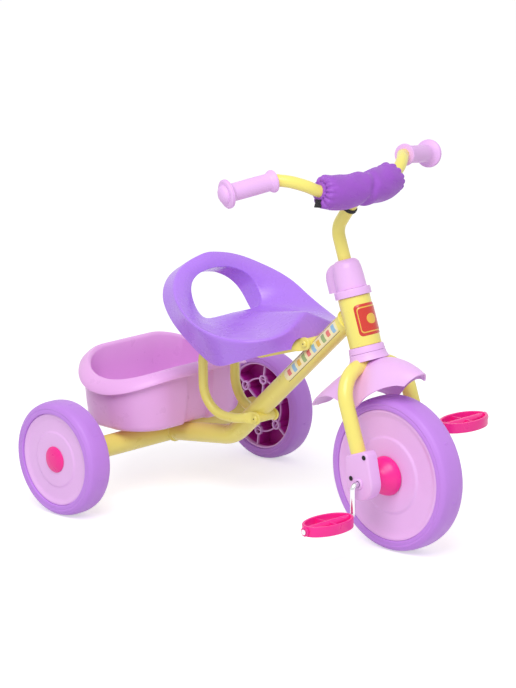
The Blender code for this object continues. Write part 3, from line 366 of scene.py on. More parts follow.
def skin(rows, around=True, along=False, matrix=None, sharp=38):
    """Faces over rows of points: around closes each row, along joins the last row to the first."""
    width = len(rows[0])
    faces = []
    for r in range(len(rows) if along else len(rows) - 1):
        low, high = r * width, (r + 1) % len(rows) * width
        for i in range(width if around else width - 1):
            j = (i + 1) % width
            faces.append((low + i, low + j, high + j, high + i))
    return tidied(mesh_of("skin", [p for row in rows for p in row], faces=faces), matrix, sharp)


def eased(profile, size, arc=4):
    """A profile of (radius, height) points with its corners rounded; a third number is a size."""
    ring = profile[0][0] > 0
    last = len(profile) - 1
    out = []
    for i, point in enumerate(profile):
        here = Vector(point[:2])
        if not ring and i in (0, last):
            out.append(here)
            continue
        before = Vector(profile[i - 1][:2]) - here
        after = Vector(profile[(i + 1) % len(profile)][:2]) - here
        reach = min(point[2] if len(point) > 2 else size, before.length * 0.45, after.length * 0.45)
        start = here + before.normalized() * reach
        end = here + after.normalized() * reach
        for k in range(arc + 1):
            t = k / arc
            out.append(start * (1 - t) ** 2 + here * 2 * t * (1 - t) + end * t * t)
    return out


def angles(count):
    """Equal turns round a circle."""
    return [math.tau * i / count for i in range(count)]


def turned(profile, matrix, steps=96, sharp=38):
    """Turn a profile about the matrix's Z axis; one that stays off the axis is a closed ring."""
    rows = [[(radius * math.cos(a), radius * math.sin(a), height) for a in angles(steps)]
            for radius, height in profile]
    return skin(rows, along=profile[0][0] > 0, matrix=matrix, sharp=sharp)


def ring(bore, radius, low, high, edge, matrix, steps=96):
    """A plain tube about the matrix's Z axis, with its edges rounded."""
    profile = [(bore, high), (radius, high), (radius, low), (bore, low)]
    return turned(eased(profile, edge), matrix, steps)


def facing(side):
    """Turns +Z towards the rider's left (1) or right (-1)."""
    return Matrix.Rotation(-side * math.pi / 2, 4, "X")


powder_yellow = finish("powder_coat_yellow", POWDER_YELLOW, (0.26, 0.38), clouds=0.02,
                       cloud_size=9.0, grain=420.0, depth=0.00010, scuffs=0.10, coat_weight=0.25,
                       coat_roughness=0.12)
beam_at = BODY @ Matrix.Translation((0, 0, rear_axle.z)) @ facing(1)
beam_mesh = ring(BEAM_RADIUS - BEAM_WALL, BEAM_RADIUS, -BEAM_HALF, BEAM_HALF, 0.0006, beam_at, 64)
piece("beam", beam_mesh, powder_yellow, "frame", "yellow_paint", "axle_beam")

# Main tube: a 33 mm tube that leaves the beam almost level, bends up and meets the head tube.
# Two short cross sleeves are welded to it for the seat struts' bolts, with a bead at each weld.
MAIN_RADIUS = 0.0165
MAIN_BEND = 0.070
MAIN_ANGLE = math.radians(42.1)
LOWER_ANGLE = math.radians(7.6)
MAIN_JOIN = 0.2645
MAIN_STOP = 0.022
SLEEVE_RADIUS = 0.008
SLEEVE_BORE = 0.0033
SLEEVE_HALF = 0.0185
SLEEVE_OFFSET = 0.0155
LOWER_BOLT_ALONG = -0.2998
UPPER_BOLT_ALONG = -0.1160
HEAD_WELD = 0.0285
BEAM_WELD = BEAM_RADIUS - 0.0015


def bent(corners, bends, step=math.radians(4)):
    """A tube bender's path: straight runs joined by arcs at the corners."""
    corners = [Vector(p) for p in corners]
    path = [corners[0]]
    for before, corner, after, bend in zip(corners, corners[1:], corners[2:], bends):
        near = (before - corner).normalized()
        far = (after - corner).normalized()
        half = near.angle(far) / 2
        centre = corner + (near + far).normalized() * (bend / math.sin(half))
        start = corner + near * (bend / math.tan(half)) - centre
        sweep = math.pi - 2 * half
        count = max(3, math.ceil(sweep / step))
        axis = start.cross(corner + far * (bend / math.tan(half)) - centre)
        for i in range(count + 1):
            path.append(centre + Matrix.Rotation(sweep * i / count, 3, axis) @ start)
    path.append(corners[-1])
    return path


def bead(radius, thickness, matrix):
    """A weld's bead: a lumpy ring about the matrix's Z axis."""
    rows = []
    for angle in angles(72):
        swell = thickness * (1 + 0.14 * math.sin(angle * 17) + 0.08 * math.sin(angle * 29 + 1))
        rows.append([((radius + swell * math.cos(a)) * math.cos(angle),
                      (radius + swell * math.cos(a)) * math.sin(angle), swell * math.sin(a))
                     for a in angles(8)])
    return skin(rows, along=True, matrix=matrix)


def pointing(way):
    """Turns +Z along a direction."""
    return way.to_track_quat("Z", "Y").to_matrix().to_4x4()


head_join = BODY.inverted() @ FORK @ Vector((0, 0, MAIN_JOIN))
main_way = Vector((math.cos(MAIN_ANGLE), 0, math.sin(MAIN_ANGLE)))
main_normal = Vector((math.sin(MAIN_ANGLE), 0, -math.cos(MAIN_ANGLE)))
beam_centre = Vector((0, 0, rear_axle.z))
rise = math.tan(LOWER_ANGLE)
slope = math.tan(MAIN_ANGLE)
corner_x = (head_join.z - rear_axle.z - slope * head_join.x) / (rise - slope)
main_corner = Vector((corner_x, 0, rear_axle.z + rise * corner_x))
low_way = (main_corner - beam_centre).normalized()
tube_start = beam_centre + low_way * BEAM_RADIUS * 0.7
tube_stop = head_join - main_way * MAIN_STOP
lower_bolt = head_join + main_way * LOWER_BOLT_ALONG + main_normal * SLEEVE_OFFSET
upper_bolt = head_join + main_way * UPPER_BOLT_ALONG - main_normal * SLEEVE_OFFSET
main_parts = [tubing(bent([tube_start, main_corner, tube_stop], [MAIN_BEND]), MAIN_RADIUS,
                     powder_yellow, BODY, 64)]
for spot in (lower_bolt, upper_bolt):
    main_parts.append(ring(SLEEVE_BORE, SLEEVE_RADIUS, -SLEEVE_HALF, SLEEVE_HALF, 0.0005,
                           BODY @ Matrix.Translation(spot) @ facing(1), 40))
welds = ((head_join - main_way * HEAD_WELD, main_way, 0.0004, 0.0022),
         (beam_centre + low_way * BEAM_WELD, low_way, 0.0002, 0.0024))
for spot, way, proud, thickness in welds:
    main_parts.append(bead(MAIN_RADIUS + proud, thickness,
                           BODY @ Matrix.Translation(spot) @ pointing(way)))
piece("main_frame_tube", joined(*main_parts), powder_yellow, "frame", "yellow_paint", "main_tube")

# Head tube: a short 52 mm tube welded across the main tube's top, with a moulded cup pressed
# into each end. The steerer turns in the cups.
HEAD_RADIUS = 0.026
HEAD_WALL = 0.0025
HEAD_BOTTOM = 0.2076
HEAD_TOP = 0.2875
CUP_RADIUS = 0.0295
CUP_HEIGHT = 0.0125
LOWER_CUP_HEIGHT = 0.0105
CUP_SPIGOT = 0.010
STEERER_RADIUS = 0.0125
SEAM = 0.0003
SHELL_PINK = linear(240, 190, 247)
head_bore = HEAD_RADIUS - HEAD_WALL
head_mesh = ring(head_bore, HEAD_RADIUS, HEAD_BOTTOM, HEAD_TOP, 0.0008, FORK, 80)
piece("head", head_mesh, powder_yellow, "frame", "yellow_paint", "head_tube")


def pale_pink(name):
    """The pale pink of the moulded parts."""
    return finish(name, SHELL_PINK, (0.30, 0.42), clouds=0.025, cloud_size=22.0, grain=900.0,
                  depth=0.00004, scuffs=0.16)


shell_pink = pale_pink("moulded_pink")
cup_bore = STEERER_RADIUS + SEAM
cup_top = HEAD_TOP + SEAM + CUP_HEIGHT
cup_foot = HEAD_BOTTOM - SEAM - LOWER_CUP_HEIGHT
spigot = head_bore - SEAM
upper_cup = [(cup_bore, cup_top), (CUP_RADIUS, cup_top, 0.002), (CUP_RADIUS, HEAD_TOP + SEAM),
             (spigot, HEAD_TOP + SEAM), (spigot, HEAD_TOP - CUP_SPIGOT),
             (cup_bore, HEAD_TOP - CUP_SPIGOT)]
lower_cup = [(cup_bore, HEAD_BOTTOM + CUP_SPIGOT), (spigot, HEAD_BOTTOM + CUP_SPIGOT),
             (spigot, HEAD_BOTTOM - SEAM), (CUP_RADIUS - 0.0012, HEAD_BOTTOM - SEAM),
             (CUP_RADIUS, cup_foot), (cup_bore, cup_foot)]
for name, profile, stands_for in (("upper_cup", upper_cup, "headset_cup_top"),
                                  ("lower_cup", lower_cup, "headset_cup_bottom")):
    piece(name, turned(eased(profile, 0.0008), FORK, 80), shell_pink, "frame", "pink_plastic",
          stands_for)

# Badge and side strip: an enamelled plate wrapped round the head tube's front, and a printed
# film on the main tube's right side. The plate bears a bordered oval, the film plain bars.
BADGE_HALF_HEIGHT = 0.0255
BADGE_HALF_ANGLE = math.radians(57)
BADGE_MIDDLE = 0.2480
BADGE_LIFT = 0.0009
BADGE_STEP = 0.002
BADGE_FLAT = 0.94
BADGE_RED = linear(214, 44, 28)
BADGE_GOLD = linear(238, 190, 70)
FILM_CREAM = linear(252, 240, 186)
FILM_BROWN = linear(120, 96, 60)
FILM_CORAL = linear(236, 122, 112)
FILM_BLUE = linear(150, 196, 226)
FILM_GREEN = linear(156, 182, 116)


def divided(loop, step):
    """A closed outline with its long edges cut into short ones."""
    out = []
    for here, ahead in zip(loop, loop[1:] + loop[:1]):
        count = max(1, math.ceil((ahead - here).length / step))
        out += [here.lerp(ahead, k / count) for k in range(count)]
    return out


def wrapped_plate(half_angle, half_height, corner, lift, steps=10):
    """A thin plate on the head tube: a rounded rectangle in (angle, height), domed at its edge."""
    outline = []
    for start, (cx, cy) in enumerate(CORNERS):
        for k in range(steps + 1):
            a = (start + k / steps) * math.pi / 2
            outline.append(Vector(((half_angle * HEAD_RADIUS - corner) * cx + corner * math.cos(a),
                                   (half_height - corner) * cy + corner * math.sin(a))))
    outline = divided(outline, BADGE_STEP)
    rows = []
    for share in (1.0, 0.98, BADGE_FLAT, 0.75, 0.5, 0.25, 0.0):
        radius = HEAD_RADIUS + lift * (1 - max(0.0, share - BADGE_FLAT) / (1 - BADGE_FLAT))
        rows.append([(radius * math.cos(p.x * share / HEAD_RADIUS),
                      radius * math.sin(p.x * share / HEAD_RADIUS), p.y * share) for p in outline])
    return skin(rows)


def flat_finish(name, colour, rough):
    """A thin glossy coat: enamel or printed film."""
    return finish(name, colour, rough, clouds=0.03, cloud_size=60.0, grain=1400.0,
                  depth=0.00002, scuffs=0.3, coat_weight=0.4, coat_roughness=0.1)


badge_red = flat_finish("enamel_red", BADGE_RED, (0.22, 0.34))
badge_gold = flat_finish("enamel_gold", BADGE_GOLD, (0.25, 0.38))
film_cream = flat_finish("film_cream", FILM_CREAM, (0.25, 0.38))
badge_place = FORK @ Matrix.Translation((0, 0, BADGE_MIDDLE))
badge_parts = []
for width, height, corner, lift in ((1, 1, 0.007, 0), (0.88, 0.86, 0.006, 0.0002),
                                    (0.82, 0.78, 0.005, 0.0004), (0.36, 0.34, 0.0085, 0.0006)):
    badge_parts.append(wrapped_plate(BADGE_HALF_ANGLE * width, BADGE_HALF_HEIGHT * height, corner,
                                     BADGE_LIFT + lift))
    badge_parts[-1].transform(badge_place)
plate, border, field, oval = badge_parts
piece("badge_plate", plate, badge_red, "frame", "yellow_paint")
piece("badge_border", joined(border, oval), badge_gold, "frame", "yellow_paint")
piece("badge_field", field, badge_red, "frame", "yellow_paint")

STRIP_START = 0.200
STRIP_END = 0.038
STRIP_ANGLE = math.radians(-84)
STRIP_HALF = math.radians(42)
STRIP_MARGIN = 0.012
STRIP_PITCH = 0.0148
STRIP_BAR = 0.0092
STRIP_WIDTHS = (0.48, 0.66)
STRIP_BARS = 10
LEFT = Vector((0, 1, 0))


def film(start, end, middle, half, lift, levels=24, across=12):
    """A patch of film on the main tube, from start to end back from the head tube."""
    rows = []
    for k in range(levels + 1):
        share = k / levels
        along = -(start + (end - start) * share)
        pinch = math.sqrt(max(0.0, 1 - abs(2 * share - 1) ** 8))
        row = []
        for i in range(across + 1):
            angle = middle + half * (2 * i / across - 1) * (0.55 + 0.45 * pinch)
            radius = MAIN_RADIUS + lift * (1 if 0 < i < across and 0 < k < levels else -0.5)
            row.append(head_join + main_way * along + LEFT * radius * math.sin(angle)
                       - main_normal * radius * math.cos(angle))
        rows.append(row)
    return skin(rows, around=False, matrix=BODY)


ground_film = film(STRIP_START, STRIP_END, STRIP_ANGLE, STRIP_HALF, 0.00025)
piece("side_film", ground_film, film_cream, "frame", "yellow_paint")
edge_lines = [film(STRIP_START - 0.001, STRIP_END + 0.001, STRIP_ANGLE + STRIP_HALF * edge,
                   math.radians(1.6), 0.00035) for edge in (-0.9, 0.9)]
piece("side_film_edges", joined(*edge_lines), flat_finish("film_brown", FILM_BROWN, (0.3, 0.4)),
      "frame", "yellow_paint")
bar_colours = (("coral", FILM_CORAL), ("blue", FILM_BLUE), ("gold", BADGE_GOLD),
               ("green", FILM_GREEN))
for order, (label, colour) in enumerate(bar_colours):
    film_bars = []
    for i in range(order, STRIP_BARS, len(bar_colours)):
        low_end = STRIP_START - STRIP_MARGIN - i * STRIP_PITCH
        film_bars.append(film(low_end, low_end - STRIP_BAR, STRIP_ANGLE,
                              STRIP_HALF * STRIP_WIDTHS[i % 2], 0.00045))
    piece("side_film_" + label, joined(*film_bars), flat_finish("film_" + label, colour, (0.3, 0.4)),
          "frame", "yellow_paint")

# Fork: two legs bent from one 24 mm tube over the wheel, with the steerer welded to the middle
# of the bend. The steerer passes up through the head tube and carries the handlebar post.
LEG_RADIUS = 0.0122
LEG_SPREAD = 0.072
LEG_BEND = 0.053
CROWN_HEIGHT = 0.178
LEG_END = 0.018
STEERER_TOP = 0.3196
STEERER_WALL = 0.0017
fork_corners = [(0, -LEG_SPREAD, LEG_END), (0, -LEG_SPREAD, CROWN_HEIGHT),
                (0, LEG_SPREAD, CROWN_HEIGHT), (0, LEG_SPREAD, LEG_END)]
legs = tubing(bent(fork_corners, [LEG_BEND] * 2), LEG_RADIUS, powder_yellow, FORK, 48)
steerer_foot = CROWN_HEIGHT + LEG_RADIUS * 0.5
steerer_bore = STEERER_RADIUS - STEERER_WALL
steerer = turned([(steerer_bore, STEERER_TOP), (STEERER_RADIUS, STEERER_TOP),
                  (STEERER_RADIUS, steerer_foot), (steerer_bore, steerer_foot)], FORK, 48)
piece("fork_legs", joined(legs, steerer), powder_yellow, "steering", "yellow_paint", "fork")

# Fork crown cover and mudguard: a moulded collar under the lower cup, and one arched shell over
# the wheel that the steerer passes through. Both are moulded in the pale pink of the wheels.
COVER_RADIUS = 0.0335
COVER_HEIGHT = 0.0127
GUARD_WALL = 0.0025
collar_top = cup_foot - SEAM
collar_foot = collar_top - COVER_HEIGHT
collar = [(STEERER_RADIUS + SEAM, collar_top), (CUP_RADIUS, collar_top),
          (CUP_RADIUS + 0.0008, collar_top - COVER_HEIGHT * 0.5, 0.004),
          (COVER_RADIUS, collar_foot), (STEERER_RADIUS + SEAM, collar_foot)]
piece("crown_collar", turned(eased(collar, 0.0012), FORK, 80), shell_pink, "steering",
      "pink_plastic", "fork_crown_cover")
# Stations: along X from the rear axle, height of the spine, half width, fall, how far its edges
# lie behind the spine
GUARD_STATIONS = (
    (0.3560, 0.206, 0.004, 0.000, -0.002), (0.3580, 0.208, 0.014, 0.001, -0.003),
    (0.3640, 0.215, 0.022, 0.003, -0.002), (0.3850, 0.238, 0.030, 0.010, 0.0),
    (0.4200, 0.268, 0.040, 0.030, 0.0), (0.4550, 0.291, 0.047, 0.056, 0.0),
    (0.4850, 0.304, 0.050, 0.072, 0.0), (0.5120, 0.310, 0.048, 0.056, 0.003),
    (0.5400, 0.3095, 0.041, 0.040, 0.007), (0.5660, 0.3035, 0.032, 0.026, 0.011),
    (0.5860, 0.2960, 0.025, 0.018, 0.015),
)
GUARD_SQUARE = 2.5
GUARD_ACROSS = 48


def through(points, per_span):
    """A smooth curve through points of any number of parts, ends included."""
    points = [Vector(p) for p in points]
    ends = [2 * points[0] - points[1]] + points + [2 * points[-1] - points[-2]]
    out = []
    for a, b, c, d in zip(ends, ends[1:], ends[2:], ends[3:]):
        for i in range(per_span):
            t = i / per_span
            out.append(0.5 * (2 * b + (c - a) * t + (2 * a - 5 * b + 4 * c - d) * t * t
                              + (3 * b - 3 * c + d - a) * t ** 3))
    out.append(points[-1])
    return out


def guard_rows():
    """The mudguard's sections, each an arch across its spine."""
    spines = through([(x, z, w) for x, z, w, fall, behind in GUARD_STATIONS], 8)
    sides = through([(fall, behind, 0) for x, z, w, fall, behind in GUARD_STATIONS], 8)
    rows = []
    for spine, side in zip(spines, sides):
        row = []
        for i in range(GUARD_ACROSS + 1):
            share = math.sin((i / GUARD_ACROSS - 0.5) * math.pi)
            row.append((spine.x - side.y * share ** 2, spine.z * share,
                        spine.y - side.x * abs(share) ** GUARD_SQUARE))
        rows.append(row)
    return rows


def shelled(mesh, wall, offset=-1, bevel=0.0):
    """Give an open skin its wall and finish its cut edge, as a plain mesh."""
    holder = shown_by(mesh)
    thick = holder.modifiers.new("wall", "SOLIDIFY")
    thick.thickness = wall
    thick.offset = offset
    thick.use_even_offset = True
    if bevel:
        soften = holder.modifiers.new("edge", "BEVEL")
        soften.width = bevel
        soften.segments = 3
        soften.limit_method = "ANGLE"
        soften.angle_limit = math.radians(50)
    return smoothed(applied(holder), 40)


def opened(mesh, inside):
    """Delete the faces whose middle is inside a test."""
    def open_up(work):
        gone = [face for face in work.faces if inside(face.calc_center_median())]
        bmesh.ops.delete(work, geom=gone, context="FACES")

    return reworked(mesh, open_up)


def facing_up(mesh):
    """Turn an open skin over when its highest face looks down."""
    top = max(mesh.polygons, key=lambda face: face.center.z)
    if top.normal.z < 0:
        mesh.flip_normals()
    return mesh


to_fork = FORK.inverted()
guard_skin = skin(guard_rows(), around=False, matrix=BODY)
guard_skin = opened(facing_up(guard_skin),
                    lambda spot: (to_fork @ spot).xy.length < STEERER_RADIUS + 0.002)
guard_mesh = shelled(guard_skin, GUARD_WALL, -1, 0.0007)
piece("front_mudguard", guard_mesh, shell_pink, "steering", "pink_plastic", "mudguard")

# Fork-end covers: a moulded pod closes each leg, carries the crank's bush and is held by two
# screws. Its lower half is round about the crank and its top is a soft-cornered box.
END_COVER_INNER = 0.0645
END_COVER_OUTER = 0.0885
BOSS_RADIUS = 0.028
COVER_TOP = 0.0475
COVER_FRONT = 0.033
COVER_BACK = -0.0165
POD_ROUND = 0.0032
COVER_SCREWS = ((0.026, 0.0385), (-0.013, 0.011))
SIDES = ((1, "left"), (-1, "right"))


def prism(outline, low, high, width, matrix):
    """An outline of (x, y) points drawn up from low to high, with its sharp edges rounded."""
    count = len(outline)
    points = [(x, y, low) for x, y in outline] + [(x, y, high) for x, y in outline]
    faces = [tuple(range(count))[::-1], tuple(range(count, 2 * count))]
    faces += [(i, (i + 1) % count, count + (i + 1) % count, count + i) for i in range(count)]

    def soften(work):
        limit = math.radians(50)
        edges = [e for e in work.edges if len(e.link_faces) == 2 and e.calc_face_angle() > limit]
        bmesh.ops.bevel(work, geom=edges, offset=width, segments=5, profile=0.5,
                        affect="EDGES", clamp_overlap=True)
        bmesh.ops.recalc_face_normals(work, faces=work.faces)

    mesh = reworked(tidied(mesh_of("prism", points, faces=faces)), soften)
    mesh.transform(matrix)
    return smoothed(mesh, 40)


boss_arc = [math.radians(186 + 168 * i / 40) for i in range(41)]
pod = [(BOSS_RADIUS * math.cos(a), BOSS_RADIUS * math.sin(a)) for a in boss_arc]
pod += [(COVER_FRONT, COVER_TOP - 0.009), (COVER_FRONT - 0.0012, COVER_TOP - 0.0045),
        (COVER_FRONT - 0.0045, COVER_TOP - 0.0012), (COVER_FRONT - 0.009, COVER_TOP),
        (COVER_BACK + 0.006, COVER_TOP), (COVER_BACK + 0.0018, COVER_TOP - 0.0018),
        (COVER_BACK, COVER_TOP - 0.006)]
bush = eased([(0.0052, 0.0022), (0.0085, 0.0022), (0.0095, 0), (0.0052, 0)], 0.0008)
for side, label in SIDES:
    # a prism's X stays ahead and its Y becomes up once it is turned on its side
    upright = Matrix.Rotation(math.pi / 2, 4, "X")
    low, high = sorted((-side * END_COVER_INNER, -side * END_COVER_OUTER))
    shell = prism(pod, low, high, POD_ROUND, FORK @ upright)
    lip = turned(bush, FORK @ Matrix.Translation((0, side * END_COVER_OUTER, 0)) @ facing(side), 48)
    piece("leg_pod_" + label, joined(shell, lip), shell_pink, "steering", "pink_plastic",
          "fork_end_cover_" + label)

# Wheels' tyres: closed-cell foam hoops pressed over the plastic wheels, with rounded shoulders
# and a ring moulded in each sidewall. The tread carries short moulding nibs.
REAR_RADIUS = 0.0958
REAR_WIDTH = 0.0467
FRONT_RADIUS = 0.125
FRONT_WIDTH = 0.0497
REAR_DISC_RADIUS = 0.0773
FRONT_DISC_RADIUS = 0.1063
NIBS = 8
FIRST_NIB = 0.21
NIB_PROUD = 0.0004
FOAM_PURPLE = linear(200, 136, 236)
foam = finish("foam_purple", FOAM_PURPLE, (0.42, 0.58), clouds=0.035, cloud_size=18.0,
              grain=1100.0, depth=0.00010, scuffs=0.22, sheen_weight=0.15, sheen_roughness=0.5)

copies_round, given = new_tree("copies_round_axle", ("Copies", "NodeSocketInt"),
                               ("First angle", "NodeSocketFloat"))
spots = node(copies_round, "GeometryNodeMeshLine", {"Count": given["Copies"],
                                                    "Offset": (0.0, 0.0, 0.0)})
number = node(copies_round, "GeometryNodeInputIndex")
share = node(copies_round, "ShaderNodeMath", {0: math.tau, 1: given["Copies"]},
             operation="DIVIDE")
angle = node(copies_round, "ShaderNodeMath", {0: number.outputs[0], 1: share.outputs[0],
                                              2: given["First angle"]},
             operation="MULTIPLY_ADD")
about = node(copies_round, "ShaderNodeCombineXYZ", {"Y": angle.outputs[0]})
spin = node(copies_round, "FunctionNodeEulerToRotation", {0: about.outputs[0]})


def set_at(tree, points, shape, rotation):
    """A shape set at each of a tree's points, turned as each says."""
    return node(tree, "GeometryNodeInstanceOnPoints",
                {"Points": points, "Instance": shape, "Rotation": rotation}).outputs[0]


end_tree(copies_round, set_at(copies_round, spots.outputs[0], given["Geometry"], spin.outputs[0]),
         given)


def round_axle(mesh, count, first, material, matrix):
    """Copies of a mesh about the Y axis, moved to their wheel."""
    made = grown(copies_round, mesh, {"Copies": count, "First angle": first, "Finish": material})
    made.transform(matrix)
    return made


def rounded_block(low, high, width, segments=2):
    """A box between two corners with its edges rounded."""
    work = bmesh.new()
    bmesh.ops.create_cube(work, size=1)
    low, high = Vector(low), Vector(high)
    bmesh.ops.scale(work, vec=high - low, verts=work.verts)
    bmesh.ops.translate(work, vec=(low + high) / 2, verts=work.verts)
    bmesh.ops.bevel(work, geom=work.edges[:], offset=width, segments=segments, profile=0.5,
                    affect="EDGES")
    mesh = bpy.data.meshes.new("block")
    work.to_mesh(mesh)
    work.free()
    mesh.shade_smooth()
    return mesh


def tyre(name, radius, width, bore, matrix, body, node_name):
    """A foam hoop with nibs round its tread, shown on its wheel's body."""
    half = width / 2
    profile = [(bore, half, 0.002), (radius - 0.0135, half, 0.002), (radius - 0.0115, half - 0.0009),
               (radius - 0.0095, half, 0.004), (radius - 0.0025, half * 0.84, 0.008),
               (radius, half * 0.42, 0.008), (radius, -half * 0.42, 0.008),
               (radius - 0.0025, -half * 0.84, 0.008), (radius - 0.0095, -half, 0.004),
               (radius - 0.0115, -half + 0.0009), (radius - 0.0135, -half, 0.002),
               (bore, -half, 0.002)]
    hoop = turned(eased(profile, 0.0012, 5), matrix @ facing(1), 144)
    nib = rounded_block((-0.0016, -0.0042, radius - 0.001),
                        (0.0016, 0.0042, radius + NIB_PROUD), 0.0003)
    nibs = round_axle(nib, NIBS, FIRST_NIB, foam, matrix)
    piece(name, joined(hoop, nibs), foam, body, "purple_tyre", node_name)


tyre("front_foam_tyre", FRONT_RADIUS, FRONT_WIDTH, FRONT_DISC_RADIUS, AXLE, "front_wheel",
     "front_tyre")

# Rear wheels: one-piece moulded wheels, dished with a stepped face outside and stiffened inside
# by six ribs, each with a hollow screw post on a ring wall. A domed cap hides the axle's end.
WHEEL_WALL = 0.0035
HUB_RADIUS = 0.012
CAP_RADIUS = 0.022
CAP_CROWN = 0.006
AXLE_HOLE = 0.0053
RIB_THICKNESS = 0.0025
POST_PLACE = 0.047
POST_RADIUS = 0.0085
POST_BORE = 0.0058
RIBS = 6
FIRST_RIB = math.radians(8)
MAGENTA = linear(255, 32, 150)
magenta = finish("moulded_magenta", MAGENTA, (0.26, 0.38), clouds=0.03, cloud_size=26.0,
                 grain=900.0, depth=0.00004, scuffs=0.14)
half_track = joint_rows["left_rear_wheel_spin"]["pos_m"][1]
rear_inner = -REAR_WIDTH / 2
rear_face = REAR_WIDTH / 2 - 0.0042
hub_face = rear_face - 0.0092
outer = REAR_DISC_RADIUS - SEAM
web = rear_face - 0.0018 - WHEEL_WALL
wheel_profile = [
    (AXLE_HOLE, hub_face), (CAP_RADIUS - 0.0035, hub_face), (CAP_RADIUS - 0.0035, rear_face),
    (outer * 0.585, rear_face, 0.003), (outer * 0.62, rear_face - 0.0018, 0.003),
    (outer - 0.009, rear_face - 0.0018, 0.004), (outer - 0.003, rear_face + 0.0012, 0.003),
    (outer, rear_face + 0.0008), (outer, rear_inner + 0.004, 0.0014),
    (outer - WHEEL_WALL, rear_inner + 0.004, 0.0014), (outer - WHEEL_WALL, web, 0.003),
    (CAP_RADIUS, web, 0.002), (CAP_RADIUS, hub_face - WHEEL_WALL, 0.002),
    (HUB_RADIUS, hub_face - WHEEL_WALL, 0.002),
    (HUB_RADIUS, rear_inner - 0.006, 0.001), (AXLE_HOLE, rear_inner - 0.006),
]
WHEEL_PAINTED_SHADE = linear(196, 40, 170)
wheel_pink = pale_pink("moulded_wheel_pink")
# painted shade: the base colour turns a deep magenta inside the wheel, between its mouth's edges and its
# web, for the shade and pink bounce light that fall there
tree = wheel_pink.node_tree
shader = tree.nodes["Principled BSDF"]
pale_skin = shader.inputs["Base Color"].links[0].from_socket
place = node(tree, "ShaderNodeSeparateXYZ",
             {0: node(tree, "ShaderNodeTexCoord").outputs["Object"]})
aside = node(tree, "ShaderNodeMath", {0: place.outputs["Y"]}, operation="ABSOLUTE").outputs[0]
mouth_at = half_track + rear_inner + 0.008
web_at = half_track + web
painted_shade_inside = node(tree, "ShaderNodeMath",
                    {0: ranged(tree, aside, mouth_at, mouth_at + 0.005, 0.0, 1.0),
                     1: ranged(tree, aside, web_at + 0.0022, web_at + 0.0010, 0.0, 1.0)},
                    operation="MULTIPLY")
tree.links.new(blend_of(tree, painted_shade_inside.outputs[0], pale_skin, WHEEL_PAINTED_SHADE),
               shader.inputs["Base Color"])
cap_foot = rear_face + SEAM
cap_profile = [(0, cap_foot + CAP_CROWN), (CAP_RADIUS * 0.50, cap_foot + CAP_CROWN * 0.90, 0.004),
               (CAP_RADIUS * 0.86, cap_foot + CAP_CROWN * 0.50, 0.005),
               (CAP_RADIUS, cap_foot + 0.0006, 0.001), (CAP_RADIUS, cap_foot, 0.0003),
               (CAP_RADIUS - 0.003, cap_foot, 0.001), (0, cap_foot + CAP_CROWN * 0.4)]
for side, label in SIDES:
    body = label + "_rear_wheel"
    wheel_at = Matrix.Translation((rear_axle.x, side * half_track, rear_axle.z))
    tyre("foam_tyre_" + label, REAR_RADIUS, REAR_WIDTH, REAR_DISC_RADIUS, wheel_at, body,
         "rear_tyre_" + label)
    dish = turned(eased(wheel_profile, 0.0008), wheel_at @ facing(side), 120)
    mouth, wall = sorted((side * (rear_inner + 0.0075), side * (web + 0.001)))
    rib = rounded_block((-RIB_THICKNESS / 2, mouth, HUB_RADIUS - 0.001),
                        (RIB_THICKNESS / 2, wall, POST_PLACE - POST_RADIUS + 0.001), 0.0005)
    rib_out = rounded_block((-RIB_THICKNESS / 2, mouth, POST_PLACE + POST_RADIUS - 0.001),
                            (RIB_THICKNESS / 2, wall, outer - WHEEL_WALL + 0.001), 0.0005)
    low, high = rear_inner + 0.006, web + 0.001
    post = ring(POST_BORE, POST_RADIUS, low, high, 0.0005,
                Matrix.Translation((0, 0, POST_PLACE)) @ facing(side), 32)
    ribs = round_axle(joined(rib, rib_out, post), RIBS, FIRST_RIB, wheel_pink, wheel_at)
    hoop_wall = ring(POST_PLACE - RIB_THICKNESS / 2, POST_PLACE + RIB_THICKNESS / 2, low + 0.003,
                     high, 0.0005, wheel_at @ facing(side))
    piece("moulded_wheel_" + label, joined(dish, ribs, hoop_wall), wheel_pink, body,
          "pink_plastic", "rear_wheel_" + label)
    piece("hub_cap_" + label, turned(eased(cap_profile, 0.002, 6), wheel_at @ facing(side), 72),
          magenta, body, "magenta_plastic", "rear_hub_cap_" + label)

# Front wheel: two moulded discs back to back inside the tyre, and a flared magenta flange on
# each side that spaces the wheel from the fork and is keyed to the crank.
FLANGE_RADIUS = 0.032
FLANGE_END = 0.062
CRANK_HOLE = 0.0048
disc_outer = FRONT_DISC_RADIUS - SEAM
disc_face = FRONT_WIDTH / 2 - 0.0015
disc_profile = [
    (CRANK_HOLE, disc_face), (disc_outer * 0.565, disc_face - 0.0015, 0.004),
    (disc_outer * 0.60, disc_face - 0.0040, 0.004), (disc_outer - 0.011, disc_face - 0.0038, 0.004),
    (disc_outer - 0.004, disc_face - 0.0002, 0.004), (disc_outer, disc_face - 0.0004, 0.001),
    (disc_outer, SEAM / 2), (disc_outer - WHEEL_WALL, SEAM / 2),
    (disc_outer - WHEEL_WALL, disc_face - 0.0075, 0.002), (0.016, disc_face - 0.0050),
    (HUB_RADIUS, disc_face - 0.010), (HUB_RADIUS, SEAM / 2), (CRANK_HOLE, SEAM / 2),
]
flange_foot = disc_face + SEAM
